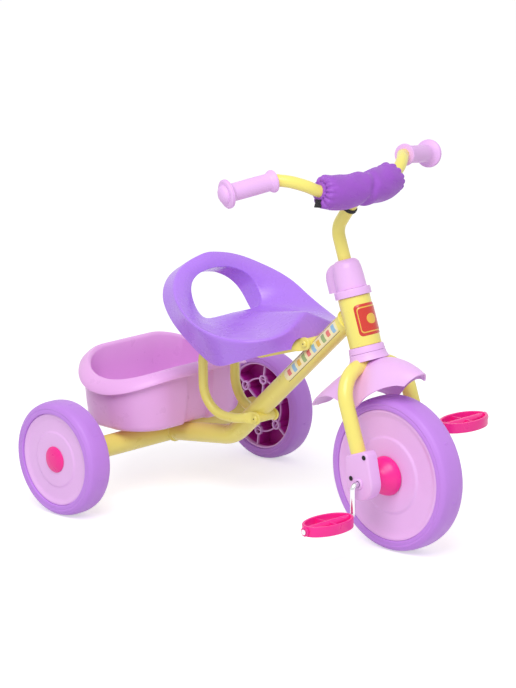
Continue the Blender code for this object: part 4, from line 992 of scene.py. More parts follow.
flange_profile = [
    (CRANK_HOLE, FLANGE_END), (0.0125, FLANGE_END), (0.0142, FLANGE_END - 0.0015, 0.001),
    (0.0172, FLANGE_END * 0.78, 0.005), (0.0242, FLANGE_END * 0.66, 0.006),
    (FLANGE_RADIUS * 0.94, FLANGE_END * 0.53, 0.004), (FLANGE_RADIUS, flange_foot + 0.003, 0.001),
    (FLANGE_RADIUS, flange_foot, 0.0006), (CRANK_HOLE, flange_foot),
]
for side, label in SIDES:
    out = AXLE @ facing(side)
    piece("wheel_disc_" + label, turned(eased(disc_profile, 0.001), out, 144), shell_pink,
          "front_wheel", "pink_plastic", "front_wheel_disc_" + label)
    piece("spacer_flange_" + label, turned(eased(flange_profile, 0.001), out, 80), magenta,
          "front_wheel", "magenta_plastic", "hub_flange_" + label)

# Crank: one 9 mm plated rod bent into two throws. It passes through the wheel, is keyed to the
# flanges and carries a pedal on each end.
ROD_RADIUS = 0.0045
ARM_PLACE = 0.101
CRANK_THROW = 0.0516
ROD_BEND = 0.008
PEDAL_GAP = 0.003
PEDAL_LENGTH = 0.098
NUT_THICKNESS = 0.003
CHROME = linear(226, 226, 230)
chrome = finish("bright_plating", CHROME, (0.07, 0.16), clouds=0.03, cloud_size=40.0, grain=500.0,
                depth=0.00002, scuffs=0.2, metallic=1.0)
pedal_inner = ARM_PLACE + ROD_RADIUS + PEDAL_GAP
pedal_outer = pedal_inner + PEDAL_LENGTH
spindle_tip = pedal_outer + SEAM + NUT_THICKNESS + 0.002
crank_path = bent([(0, spindle_tip, CRANK_THROW), (0, ARM_PLACE, CRANK_THROW), (0, ARM_PLACE, 0),
                   (0, -ARM_PLACE, 0), (0, -ARM_PLACE, -CRANK_THROW),
                   (0, -spindle_tip, -CRANK_THROW)], [ROD_BEND] * 4, math.radians(8))
piece("crank_rod", tubing(crank_path, ROD_RADIUS, chrome, AXLE, 32), chrome, "front_wheel",
      "chrome_rod", "crank")

# Pedals: open oval hoops moulded in magenta round a tube that turns on the crank's end, with
# one cross rib to carry the tread.
PEDAL_DEPTH = 0.060
PEDAL_HEIGHT = 0.0165
PEDAL_WALL = 0.0045
PEDAL_TUBE = 0.0072
PEDAL_RIB = 0.003


def pedal_loop(inset, height):
    """An oval inside the hoop's outer edge, at a height."""
    return [((PEDAL_DEPTH / 2 - inset) * math.cos(a), (PEDAL_LENGTH / 2 - inset) * math.sin(a),
             height) for a in angles(96)]


half_height = PEDAL_HEIGHT / 2
wall_section = eased([(PEDAL_WALL, -half_height), (PEDAL_WALL, half_height),
                      (0.0001, half_height), (0.0001, -half_height)], 0.0012, 4)
tread = PEDAL_TUBE * 0.8
reach = PEDAL_DEPTH / 2 - PEDAL_WALL / 2
half = PEDAL_LENGTH / 2 - 0.001
for side, label in SIDES:
    pedal_at = AXLE @ Matrix.Translation((0, side * (pedal_inner + pedal_outer) / 2,
                                          side * CRANK_THROW))
    hoop = skin([pedal_loop(inset, height) for inset, height in wall_section], along=True,
                matrix=pedal_at)
    rib = rounded_block((-reach, -PEDAL_RIB / 2, -tread), (reach, PEDAL_RIB / 2, tread), 0.0006)
    rib.transform(pedal_at)
    sleeve = ring(ROD_RADIUS + SEAM, PEDAL_TUBE, -half, half, 0.0006, pedal_at @ facing(1), 48)
    piece("pedal_hoop_" + label, joined(hoop, rib, sleeve), magenta, label + "_pedal",
          "magenta_plastic", "pedal_" + label)

# Seat struts: two 16 mm tubes bent round under the seat. Each end is pressed flat into a round
# lug that lies against a sleeve on the main tube, where one long bolt clamps both sides.
STRUT_RADIUS = 0.008
STRUT_SPREAD = 0.0365
STRUT_REAR = 0.127
STRUT_LOW = 0.158
STRUT_HIGH = 0.281
STRUT_TOP_END = 0.262
STRUT_BENDS = (0.03, 0.05, 0.038, 0.03)
LOWER_RUN = 0.022
LUG_THICKNESS = 0.004
LUG_RADIUS = 0.0105
LUG_REACH = 0.017
LUG_SQUARE = 0.55
STRUT_SIDES = 40
PRESS_START = -0.022
PRESS_RUN = 0.012
LOWER_LEAN = 0.06
UPPER_LEAN = 0.34
lug_inner = SLEEVE_HALF + SEAM
lug_middle = lug_inner + LUG_THICKNESS / 2
strut_end = lug_inner + STRUT_RADIUS
lower_lug = lower_bolt + Vector((-LUG_REACH, 0, -0.001))
upper_lug = upper_bolt + Vector((-LUG_REACH, 0, -0.006))


def pressed_end(bolt, side, lean):
    """Section rows from the tube's last point to the round tip of its flattened lug."""
    way = Vector((math.cos(lean), 0, math.sin(lean)))
    tall = Vector((-math.sin(lean), 0, math.cos(lean)))
    spans = [-0.019, -0.016, -0.013, -0.010, -0.006, -0.002]
    spans += [LUG_RADIUS * math.sin(math.radians(a)) for a in (10, 25, 40, 55, 68, 78, 86)]
    rows = []
    for along in spans:
        press = min(1.0, (along - PRESS_START) / PRESS_RUN)
        press = press * press * (3 - 2 * press)
        half_tall = STRUT_RADIUS + (LUG_RADIUS - STRUT_RADIUS) * press
        if along > 0:
            half_tall = math.sqrt(max(1e-9, LUG_RADIUS ** 2 - along ** 2))
        half_wide = STRUT_RADIUS + (LUG_THICKNESS / 2 - STRUT_RADIUS) * press
        middle = bolt + way * along
        middle.y = side * (strut_end + (lug_middle - strut_end) * press)
        power = 1 - LUG_SQUARE * press
        row = []
        for a in angles(STRUT_SIDES):
            wide = math.copysign(abs(math.cos(a)) ** power, math.cos(a))
            row.append(middle + LEFT * half_wide * wide + tall * half_tall * math.sin(a))
        rows.append(row)
    return rows


def closed(mesh, sides):
    """Fill the open ends of a skin, each of up to so many sides."""
    def fill(work):
        bmesh.ops.holes_fill(work, edges=work.edges, sides=sides)
        bmesh.ops.recalc_face_normals(work, faces=work.faces)

    return reworked(mesh, fill)


def strut_mesh(side):
    """One strut: its bent tube, with a pressed lug on each end."""
    low, high = lower_lug, upper_lug
    corners = [(low.x, side * strut_end, low.z), (low.x - LOWER_RUN, side * (strut_end + 0.003), STRUT_LOW),
               (STRUT_REAR, side * STRUT_SPREAD, STRUT_LOW),
               (STRUT_REAR, side * STRUT_SPREAD, STRUT_HIGH),
               (STRUT_TOP_END, side * (STRUT_SPREAD - 0.002), STRUT_HIGH),
               (high.x, side * strut_end, high.z)]
    path = bent(corners, STRUT_BENDS, math.radians(5))[1:-1]
    rows = []
    for i, spot in enumerate(path):
        near, far = path[max(0, i - 1)], path[min(len(path) - 1, i + 1)]
        way = (far - near).normalized()
        out = (LEFT - way * way.dot(LEFT)).normalized()
        up = out.cross(way).normalized()
        rows.append([spot + (out * math.cos(a) - up * math.sin(a)) * STRUT_RADIUS
                     for a in angles(STRUT_SIDES)])
    first = pressed_end(lower_bolt, side, LOWER_LEAN)
    last = pressed_end(upper_bolt, side, UPPER_LEAN)
    # both ends point ahead, so the lower end's sections run back along the path
    lower = [row[:] for row in first[::-1]]
    upper = [[row[(STRUT_SIDES - k) % STRUT_SIDES] for k in range(STRUT_SIDES)] for row in last]
    whole = lower + rows + upper
    for row, nearby in zip(whole, [whole[0]] + whole):
        # keep the numbering of each section in step with the one before
        shifts = []
        for flip in (1, -1):
            for s in range(0, STRUT_SIDES, 2):
                trial = sum((row[(s + flip * k) % STRUT_SIDES] - nearby[k]).length
                            for k in range(0, STRUT_SIDES, 5))
                shifts.append((trial, flip, s))
        flip, s = min(shifts)[1:]
        row[:] = [row[(s + flip * k) % STRUT_SIDES] for k in range(STRUT_SIDES)]
    return smoothed(closed(skin(whole, matrix=BODY), STRUT_SIDES + 2), 45)


for side, label in SIDES:
    piece("strut_" + label, strut_mesh(side), powder_yellow, "frame", "yellow_paint",
          "seat_strut_" + label)

# Plain steel that mostly hides: the axle, washers, push nuts, the post's clamp and the struts'
# bolts and nuts keep their own shapes and take plated and blackened finishes.
plated = finish("zinc_plating", linear(176, 178, 184), (0.28, 0.44), clouds=0.06, cloud_size=70.0,
                grain=900.0, depth=0.00004, scuffs=0.3, metallic=1.0)
blackened = finish("blackened_steel", linear(44, 42, 46), (0.36, 0.5), clouds=0.08,
                   cloud_size=200.0, grain=1500.0, depth=0.00003, scuffs=0.1, metallic=0.7)
kept_finishes = (("rear_axle", plated), ("post_clamp", plated), ("washer", plated),
                 ("push_nut", plated), ("pedal_push_nut", magenta), ("clamp_bolt", blackened),
                 ("strut_bolt", powder_yellow), ("strut_nut", powder_yellow))
for name, made in frame["nodes"].items():
    for words, kept in kept_finishes:
        if words in name:
            made.data.materials.clear()
            made.data.materials.append(kept)
# Painted shade: a small blackened disc set proud on each strut bolt's yellow head stands in for the dark,
# shaded socket recess.
SOCKET_RADIUS = 0.0013
sockets = []
for name in ("strut_bolt_front", "strut_bolt_rear"):
    low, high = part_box(name)
    spot = Vector(((low[0] + high[0]) / 2, low[1] + 0.0002, (low[2] + high[2]) / 2))
    sockets.append(turned([(0, 0.0005), (SOCKET_RADIUS * 0.8, 0.0005), (SOCKET_RADIUS, 0.0002),
                           (SOCKET_RADIUS, -0.0004), (0, -0.0004)],
                          Matrix.Translation(spot) @ facing(-1), 6))
piece("bolt_sockets", joined(*sockets), blackened, "frame", "dark_steel")

# Screws: black pan-head screws with a cross recess hold the fork-end covers, the seat and the
# basket. The same screw is set at each place with its head facing out.
SCREW_HEAD = 0.004
SCREW_CROWN = 0.0016
SCREW_SHANK = 0.002
SCREW_LENGTH = 0.008
SLOT_REACH = 0.0018
SLOT_HALF = 0.00042
SLOT_FLOOR = 0.0006


def cut(mesh, *tools):
    """A mesh with the tools' shapes taken out of it."""
    target = shown_by(mesh)
    cutters = [shown_by(tool) for tool in tools]
    for cutter in cutters:
        taken = target.modifiers.new("taken", "BOOLEAN")
        taken.operation = "DIFFERENCE"
        taken.solver = "EXACT"
        taken.object = cutter
    made = applied(target)
    for cutter in cutters:
        bpy.data.objects.remove(cutter, do_unlink=True)
    return made


def screw_mesh():
    """A pan-head screw: its head's seat at the origin, its shank down Z."""
    head = turned([(0, SCREW_CROWN), (SCREW_HEAD * 0.35, SCREW_CROWN * 0.97),
                   (SCREW_HEAD * 0.68, SCREW_CROWN * 0.80), (SCREW_HEAD * 0.90, SCREW_CROWN * 0.5),
                   (SCREW_HEAD, SCREW_CROWN * 0.15), (SCREW_HEAD * 0.98, 0), (SCREW_SHANK, 0),
                   (SCREW_SHANK, -SCREW_LENGTH), (0, -SCREW_LENGTH)], Matrix.Identity(4), 28)
    slots = []
    for angle in (0, math.pi / 2):
        slots.append(rounded_block((-SLOT_REACH, -SLOT_HALF, SLOT_FLOOR),
                                   (SLOT_REACH, SLOT_HALF, 0.004), 0.00012, 1))
        slots[-1].transform(Matrix.Rotation(angle, 4, "Z"))
    return cut(head, *slots)


fixings, given = new_tree("fixings_at_points", ("Fixing", "NodeSocketObject"))
drawn = node(fixings, "GeometryNodeObjectInfo", {"Object": given["Fixing"]})
lean = node(fixings, "GeometryNodeInputNamedAttribute", {"Name": "lean"},
            data_type="FLOAT_VECTOR")
turned_to = node(fixings, "FunctionNodeEulerToRotation", {0: lean.outputs[0]})
end_tree(fixings, set_at(fixings, given["Geometry"], drawn.outputs["Geometry"],
                         turned_to.outputs[0]), given)
screw = shown_by(screw_mesh())


def screws(name, places, body, slot, *stands_for):
    """Screws at (point, head direction) places, as one piece."""
    points = mesh_of("places", [spot for spot, way in places])
    leans = points.attributes.new("lean", "FLOAT_VECTOR", "POINT")
    for row, (spot, way) in zip(leans.data, places):
        row.vector = Vector(way).to_track_quat("Z", "Y").to_euler()
    mesh = grown(fixings, points, {"Fixing": screw, "Finish": blackened})
    piece(name, smoothed(mesh), blackened, body, slot, *stands_for)


cover_places = [(FORK @ Vector((ahead, side * (END_COVER_OUTER + SEAM), up)), (0, side, 0))
                for side in (1, -1) for ahead, up in COVER_SCREWS]
screws("cover_screws", cover_places, "steering", "dark_steel",
       *[f"cover_screw_{level}_{side}" for level in ("upper", "lower") for side in ("left", "right")])
SEAT_SCREW_PLACES = (0.190, 0.240)
seat_fixings = [Vector((along, side * (STRUT_SPREAD - 0.001), STRUT_HIGH))
                for side in (1, -1) for along in SEAT_SCREW_PLACES]
strut_skin = Vector((0, 0, STRUT_RADIUS + SEAM))
screws("seat_screws", [(BODY @ (spot - strut_skin), (0, 0, -1)) for spot in seat_fixings],
       "frame", "dark_steel",
       *[f"seat_screw_{end}_{side}" for end in ("front", "rear") for side in ("left", "right")])

# Handlebar: a post bent back from the steerer's top and a 19 mm bar across its end, which sweeps
# up and back to the grips. Both are powder-coated with the frame.
POST_TUBE = 0.0105
POST_FOOT = 0.262
POST_CORNER = 0.400
POST_BEND = 0.030
BAR_RADIUS = 0.0097
BAR_CENTRE = Vector((-0.0773, 0.0, 0.4480))
GRIP_INNER = Vector((-0.1220, 0.1494, 0.4764))
GRIP_OUTER = Vector((-0.1431, 0.2308, 0.4647))
GRIP_LEAD = 0.006
PAD_HALF = 0.083
BAR_HALF = [BAR_CENTRE, Vector((-0.0793, 0.050, 0.4495)), Vector((-0.0868, PAD_HALF, 0.4555)),
            Vector((-0.0933, 0.1060, 0.4660)), Vector((-0.1063, 0.1270, 0.4740))]
grip_axis = (GRIP_OUTER - GRIP_INNER).normalized()
bar_end = GRIP_OUTER - grip_axis * GRIP_LEAD


def mirrored(point, side=-1):
    """A point of the left half, or its twin on the right."""
    return Vector((point.x, side * point.y, point.z))


def both_ways(half):
    """A right half that mirrors a left half, then the left half itself."""
    return [mirrored(p) for p in half[:0:-1]] + list(half)


bar_line = both_ways(through(BAR_HALF + [GRIP_INNER - grip_axis * GRIP_LEAD], 10) + [bar_end])
unturned = Matrix.Rotation(rake, 3, "Y")
post_line = bent([(0, 0, POST_FOOT), (0, 0, POST_CORNER), unturned @ BAR_CENTRE], [POST_BEND])
post_mesh = tubing(post_line, POST_TUBE, powder_yellow, FORK, 48)
piece("bar_post", post_mesh, powder_yellow, "steering", "yellow_paint", "handlebar_post")
piece("bar", tubing(bar_line, BAR_RADIUS, powder_yellow, AXLE, 40), powder_yellow, "steering",
      "yellow_paint", "handlebar")

# Stem cap: a soft, tapered hood over the clamp, round in front with a lobe behind that covers
# the clamp's bolt. It is moulded in pink and pushed down on the upper cup.
CAP_HEIGHT = 0.047
LOBE_HALF = 0.011
LOBE_REACH = 0.048
LOBE_ROUND = 0.026
LOBE_DROP = 0.002
LOBE_CREASE = 0.0016
LOBE_TIP = 0.009
CAP_TAPER = ((0.0, 0.0245), (0.45, 0.0240), (0.72, 0.0230), (0.86, 0.0214), (0.94, 0.0192),
             (1.0, 0.0150))
cap_foot_height = cup_top + SEAM


def taper_at(share):
    """The cap's radius at a share of its height."""
    for (low, wide), (high, slim) in zip(CAP_TAPER, CAP_TAPER[1:]):
        if share <= high:
            return wide + (slim - wide) * (share - low) / (high - low)
    return CAP_TAPER[-1][1]


def lobed_row(radius, reach, half, height, count=96):
    """One level of the cap: a circle run smoothly into a round-ended lobe towards the rear."""
    row = []
    for a in angles(count):
        off = math.pi - a
        far = 0.0
        if math.cos(off) > 0 and reach > half:
            stub = reach - half
            side_hit = half / max(1e-6, abs(math.sin(off)))
            if side_hit * math.cos(off) <= stub:
                far = side_hit
            else:
                root = half ** 2 - (stub * math.sin(off)) ** 2
                far = stub * math.cos(off) + math.sqrt(max(0.0, root))
        mix = max(0.0, LOBE_CREASE - abs(radius - far)) / LOBE_CREASE
        reached = max(radius, far) + mix * mix * LOBE_CREASE / 4
        row.append((reached * math.cos(a), reached * math.sin(a), height))
    return row


cap_rows = [lobed_row(0.0232, LOBE_REACH - 0.002, LOBE_HALF - 0.0015, cap_foot_height + 0.0004)]
for k in range(33):
    share = k / 32
    height = cap_foot_height + CAP_HEIGHT * share
    under = CAP_HEIGHT - LOBE_DROP - CAP_HEIGHT * share
    reach, half = 0.0, LOBE_HALF
    if k == 0 or under >= LOBE_ROUND:
        reach = LOBE_REACH
    elif under > 0:
        reach = LOBE_REACH - LOBE_ROUND + math.sqrt(LOBE_ROUND ** 2 - (LOBE_ROUND - under) ** 2)
        half = LOBE_HALF * min(1.0, 0.30 + 0.70 * math.sqrt(under / LOBE_TIP))
    cap_rows.append(lobed_row(taper_at(share), reach, half, height))
for radius, drop in ((0.0128, -0.0004), (0.0118, -0.0002), (0.0112, 0.001), (0.0110, 0.006)):
    cap_rows.append(lobed_row(radius, 0.0, 0.0, cap_foot_height + CAP_HEIGHT - drop))
piece("stem_hood", skin(cap_rows, matrix=FORK, sharp=50), shell_pink, "steering", "pink_plastic",
      "stem_cap")

# Grips: soft moulded sleeves pushed on the bar, smooth along the hand's length, with a small
# flange inside, a large round guard outside with a groove in its edge, and a domed end.
GRIP_RADIUS = 0.014
grip_pink = finish("soft_grip_pink", linear(236, 186, 244), (0.40, 0.54), clouds=0.03,
                   cloud_size=30.0, grain=1300.0, depth=0.00007, scuffs=0.12)
for side, label in SIDES:
    inner, outer_end = mirrored(GRIP_INNER, side), mirrored(GRIP_OUTER, side)
    length = (outer_end - inner).length
    profile = [(0, length + 0.011), (0.007, length + 0.0104, 0.003), (0.0125, length + 0.0075, 0.004),
               (0.0152, length + 0.0042, 0.002), (0.0150, length + 0.0024, 0.0008),
               (0.0205, length + 0.0018, 0.002), (0.0230, length - 0.0003, 0.0015),
               (0.0230, length - 0.0015, 0.0004), (0.0219, length - 0.0020, 0.0004),
               (0.0230, length - 0.0026, 0.0004), (0.0228, length - 0.0045, 0.001),
               (0.0180, length - 0.0072, 0.004), (GRIP_RADIUS, length - 0.0115, 0.004),
               (GRIP_RADIUS + 0.0004, length * 0.5, 0.02), (GRIP_RADIUS, 0.0085, 0.003),
               (0.0168, 0.0045, 0.002), (0.0182, 0.0015, 0.001), (0.0176, -0.0016, 0.001),
               (BAR_RADIUS, -0.002), (0, -0.002)]
    to_grip = Matrix.Translation(inner) @ pointing(outer_end - inner)
    piece("hand_grip_" + label, turned(eased(profile, 0.0006), AXLE @ to_grip, 72), grip_pink,
          "steering", "pink_plastic", "grip_" + label)

# Handlebar pad: a foam roll in a satin purple cover round the middle of the bar, gathered at
# each end and closed behind with hook-and-loop. It is blown up as cloth from a slimmer roll,
# and the gathers, the crease and the stitches are worked in afterwards.
PAD_START_RADIUS = 0.0275
PAD_VOXEL = 0.0045
PAD_SWELL = 0.0055
PAD_PRESSURE = 4.0
PAD_FRAMES = 20
PAD_ROUND = 0.0085
PAD_FIT = 0.0012
HELD_REACH = 0.006
BARE_REACH = 0.004
GATHER_REACH = 0.019
GATHER_DEPTH = 0.0034
GATHERS = 13
MOUTH_REACH = 0.009
MOUTH_DEPTH = 0.006
CREASE_DEPTH = 0.0036
CREASE_WIDTH = 0.007
CREASE_LEAN = 0.012
CREASE_SHIFT = 0.004
RIPPLE_DEPTH = 0.0008
RIPPLES = 150
SATIN_PURPLE = linear(163, 82, 208)
YARN = 0.00042


def woven(name, colour, sheen_colour, rough):
    """A satin weave: two sets of yarns as fine relief, rumpled, with a soft sheen, and the yarns painted
    lighter in the sheen colour as a painted sheen.
    """
    made, tree, shader, place = new_finish(name)
    cloud = noise(tree, place, 30.0, 5.0)
    deep = tuple(c * 0.80 for c in colour[:3]) + (1.0,)
    yarns = []
    for turn in (0.0, math.pi / 2):
        turned_to = node(tree, "ShaderNodeMapping", {"Vector": place, "Rotation": (0.0, turn, 0.0)})
        yarns.append(node(tree, "ShaderNodeTexWave", {"Vector": turned_to.outputs[0],
                                                      "Scale": 0.31 / YARN, "Distortion": 1.2,
                                                      "Detail": 1.0, "Detail Scale": 3.0},
                          wave_type="BANDS", bands_direction="X"))
    weave = node(tree, "ShaderNodeMath", {0: yarns[0].outputs["Fac"], 1: yarns[1].outputs["Fac"]},
                 operation="MULTIPLY").outputs[0]
    # painted sheen: along the yarns the base colour is mixed up to 22% toward the pale sheen colour, over
    # clouds of random tone
    tone_and_painted_sheen = blend_of(tree, ranged(tree, weave, 0.0, 1.0, 0.0, 0.22),
                      blend_of(tree, cloud, deep, colour), sheen_colour)
    rumple = relief(tree, noise(tree, place, 95.0, 3.0), 0.7, 0.0012)
    set_shader(tree, shader, tone_and_painted_sheen, ranged(tree, cloud, 0.3, 0.7, *rough),
               relief(tree, weave, 0.35, 0.00008, rumple), sheen_weight=0.35,
               sheen_roughness=0.35, sheen_tint=sheen_colour)
    return made


satin = woven("satin_purple", SATIN_PURPLE, linear(206, 150, 240), (0.42, 0.6))
pad_axis = both_ways(through(BAR_HALF[:3], 16))
pad_lengths = [0.0]
for near, far in zip(pad_axis, pad_axis[1:]):
    pad_lengths.append(pad_lengths[-1] + (far - near).length)
PAD_LONG = pad_lengths[-1]


def pad_frame(along):
    """The pad's axis at a length from its right end, with the way forward and up there."""
    inside = min(max(along, 0.0), PAD_LONG)
    for i, stop in enumerate(pad_lengths[1:]):
        if inside <= stop + 1e-9:
            share = (inside - pad_lengths[i]) / (stop - pad_lengths[i])
            way = (pad_axis[i + 1] - pad_axis[i]).normalized()
            middle = pad_axis[i].lerp(pad_axis[i + 1], share) + way * (along - inside)
            break
    ahead = Vector((1, 0, 0))
    ahead = (ahead - way * way.dot(ahead)).normalized()
    return middle, way, ahead, ahead.cross(way).normalized()


def pad_spot(along, angle, radius):
    """A point at a length, an angle and a distance from the pad's axis."""
    middle, way, ahead, up = pad_frame(along)
    return middle + (ahead * math.cos(angle) + up * math.sin(angle)) * radius


def pad_start():
    """A closed roll with rounded ends that turn in to the bar."""
    ends = [PAD_ROUND * (1 - math.cos(math.radians(a))) for a in range(0, 91, 15)]
    straight = PAD_LONG - 2 * PAD_ROUND
    stations = ends + [PAD_ROUND + straight * k / 36 for k in range(1, 36)]
    stations += [PAD_LONG - s for s in ends[::-1]]
    core = BAR_RADIUS + PAD_FIT
    rows = []
    for along in stations:
        inward = max(0.0, 1 - min(along, PAD_LONG - along) / PAD_ROUND)
        radius = core + (PAD_START_RADIUS - core) * math.sqrt(max(0.0, 1 - inward ** 2))
        rows.append([pad_spot(along, a, radius) for a in angles(48)])
    return closed(skin(rows), 50)


def blown_up(start):
    """The roll swollen as cloth under pressure, held near the bar and stopped at its cap."""
    before = [v.co.copy() for v in start.vertices]
    holder = shown_by(start)
    held = holder.vertex_groups.new(name="held")
    for i, spot in enumerate(before):
        if min((spot - p).length for p in pad_axis) < BAR_RADIUS + HELD_REACH:
            held.add([i], 1.0, "REPLACE")
    cloth = holder.modifiers.new("cloth", "CLOTH")
    cloth.settings.use_pressure = True
    cloth.settings.uniform_pressure_force = PAD_PRESSURE
    cloth.settings.effector_weights.gravity = 0
    cloth.settings.vertex_group_mass = "held"
    cloth.settings.quality = 6
    cloth.point_cache.frame_start = 1
    cloth.point_cache.frame_end = PAD_FRAMES
    for step in range(1, PAD_FRAMES + 1):
        bpy.context.scene.frame_set(step)
    swollen = applied(holder)
    bpy.context.scene.frame_set(1)
    for vertex, old in zip(swollen.vertices, before):
        moved = vertex.co - old
        if moved.length > PAD_SWELL:
            vertex.co = old + moved * (PAD_SWELL / moved.length)
    return swollen


def subdivided(mesh):
    """A mesh made finer and rounder by two levels of subdivision."""
    holder = shown_by(mesh)
    fine = holder.modifiers.new("fine", "SUBSURF")
    fine.levels = 2
    fine.render_levels = 2
    return applied(holder)


def sewn_in(along, angle, reach):
    """How far sewing draws the cover in, at a length, an angle and a distance from the axis."""
    if reach <= BAR_RADIUS + BARE_REACH:
        return 0.0
    near_end = min(1.0, max(0.0, 1 - min(along, PAD_LONG - along) / GATHER_REACH))
    folds = 0.5 + 0.5 * math.cos(GATHERS * angle + 1.3 * math.sin(2 * angle))
    mouth = max(0.0, 1 - (reach - BAR_RADIUS) / MOUTH_REACH)
    crease = along - PAD_LONG * 0.50 - CREASE_LEAN * math.sin(angle) - CREASE_SHIFT
    ripple = math.sin(along * RIPPLES + 3 * math.sin(angle * 2)) * (1 - near_end)
    return (GATHER_DEPTH * near_end * (folds ** 2 - 0.12) + MOUTH_DEPTH * mouth * near_end
            + CREASE_DEPTH * math.exp(-(crease / CREASE_WIDTH) ** 2) + RIPPLE_DEPTH * ripple)


def pad_mesh():
    """The roll evened out, blown up, made finer and drawn in by its sewing."""
    holder = shown_by(pad_start())
    even = holder.modifiers.new("even", "REMESH")
    even.mode = "VOXEL"
    even.voxel_size = PAD_VOXEL
    roll = applied(holder)
    mesh = subdivided(blown_up(roll))
    normals = [v.normal.copy() for v in mesh.vertices]
    for vertex, outwards in zip(mesh.vertices, normals):
        spot = vertex.co.copy()
        nearest = min(range(len(pad_axis)), key=lambda i: (pad_axis[i] - spot).length_squared)
        middle, way, ahead, up = pad_frame(pad_lengths[nearest])
        off = spot - middle
        along = pad_lengths[nearest] + off.dot(way)
        off -= way * off.dot(way)
        angle = math.atan2(off.dot(up), off.dot(ahead))
        vertex.co = spot - outwards * sewn_in(along, angle, off.length)
    mesh.shade_smooth()
    mesh.transform(AXLE)
    return mesh


pad = piece("bar_pad", pad_mesh(), satin, "steering", "purple_fabric", "handlebar_pad")

# Pad closure: the black hook-and-loop strip along the cover's lower seam, whose end shows at
# the pad's right end, a woven loop round the post, and a line of stitches beside the seam.
hook_black = finish("hook_and_loop_black", linear(30, 26, 32), (0.75, 0.9), clouds=0.25,
                    cloud_size=300.0, grain=1800.0, depth=0.0003, sheen_weight=0.3)
thread = finish("purple_thread", linear(118, 52, 160), (0.6, 0.75), clouds=0.1, cloud_size=200.0,
                grain=2200.0, depth=0.00005)
SEAM_ANGLE = math.radians(-78)
FLAP_START = -0.008
FLAP_LENGTH = 0.013
FLAP_HEIGHT = 0.012
FLAP_THICKNESS = 0.0014
THREAD_LIFT = 0.0001
BAND_DROP = 0.0375
BAND_HEIGHT = 0.006
BAND_WALL = 0.0016
STITCH_MARGIN = 0.024
STITCH_OFFSET = -0.28
pad_surface = BVHTree.FromPolygons([v.co for v in pad.data.vertices],
                                   [face.vertices for face in pad.data.polygons])


def on_pad(along, angle):
    """The point of the pad's skin at a length and an angle round the bar."""
    start = AXLE @ pad_spot(along, angle, BAR_RADIUS + BARE_REACH)
    way = (AXLE @ pad_spot(along, angle, 1.0) - start).normalized()
    hit = pad_surface.ray_cast(start, way, 0.05)[0]
    return (hit or start) + way * THREAD_LIFT


flap_rows = [[pad_spot(FLAP_START + FLAP_LENGTH * i / 8, SEAM_ANGLE + 0.06 * math.sin(k * 0.6),
                       BAR_RADIUS + BARE_REACH + FLAP_HEIGHT * k / 8) for k in range(9)]
             for i in range(9)]
strip = shelled(skin(flap_rows, around=False, matrix=AXLE), FLAP_THICKNESS, 0, 0.0003)
post_way = (post_line[-1] - post_line[-2]).normalized()
band_at = Matrix.Translation(post_line[-1] - post_way * (BAND_DROP + BAND_HEIGHT))
band_bore = POST_TUBE + 0.0002
post_band = ring(band_bore, band_bore + BAND_WALL, 0, BAND_HEIGHT, 0.0004,
                 FORK @ band_at @ pointing(post_way), 48)
closure = joined(strip, post_band)
tufts, given = new_tree("loop_tufts", ("Per square metre", "NodeSocketFloat"),
                        ("Seed", "NodeSocketInt"), ("Tuft length", "NodeSocketFloat"))
strewn = node(tufts, "GeometryNodeDistributePointsOnFaces",
              {"Mesh": given["Geometry"], "Density": given["Per square metre"],
               "Seed": given["Seed"]})
fibre = node(tufts, "GeometryNodeMeshCone", {"Vertices": 3, "Radius Top": 0.0,
                                             "Radius Bottom": 0.00016,
                                             "Depth": given["Tuft length"]}, fill_type="NONE")
planted = set_at(tufts, strewn.outputs[0], fibre.outputs[0], strewn.outputs["Rotation"])
both = node(tufts, "GeometryNodeJoinGeometry")
tufts.links.new(planted, both.inputs[0])
tufts.links.new(given["Geometry"], both.inputs[0])
end_tree(tufts, both.outputs[0], given)
closure_mesh = grown(tufts, closure, {"Per square metre": 2600000.0, "Seed": 7,
                                      "Tuft length": 0.0007, "Finish": hook_black})
piece("pad_closure", closure_mesh, hook_black, "steering", "purple_fabric")

stitches, given = new_tree("stitches_on_line", ("Spacing", "NodeSocketFloat"),
                           ("Stitch length", "NodeSocketFloat"),
                           ("Thread radius", "NodeSocketFloat"))
sewn = node(stitches, "GeometryNodeMeshToCurve", {"Mesh": given["Geometry"]})
marks = node(stitches, "GeometryNodeCurveToPoints", {"Curve": sewn.outputs[0],
                                                     "Length": given["Spacing"]}, mode="LENGTH")
stitch = node(stitches, "GeometryNodeMeshCylinder", {"Vertices": 6, "Radius": given["Thread radius"],
                                                     "Depth": given["Stitch length"]})
end_tree(stitches, set_at(stitches, marks.outputs[0], stitch.outputs[0],
                          marks.outputs["Rotation"]), given)
seam_line = line_of([on_pad(STITCH_MARGIN + (PAD_LONG - 2 * STITCH_MARGIN) * k / 60,
                            SEAM_ANGLE + STITCH_OFFSET) for k in range(61)])
sewn_mesh = grown(stitches, seam_line, {"Spacing": 0.0036, "Stitch length": 0.0026,
                                        "Thread radius": 0.00035, "Finish": thread})
piece("pad_stitches", sewn_mesh, thread, "steering", "purple_fabric")

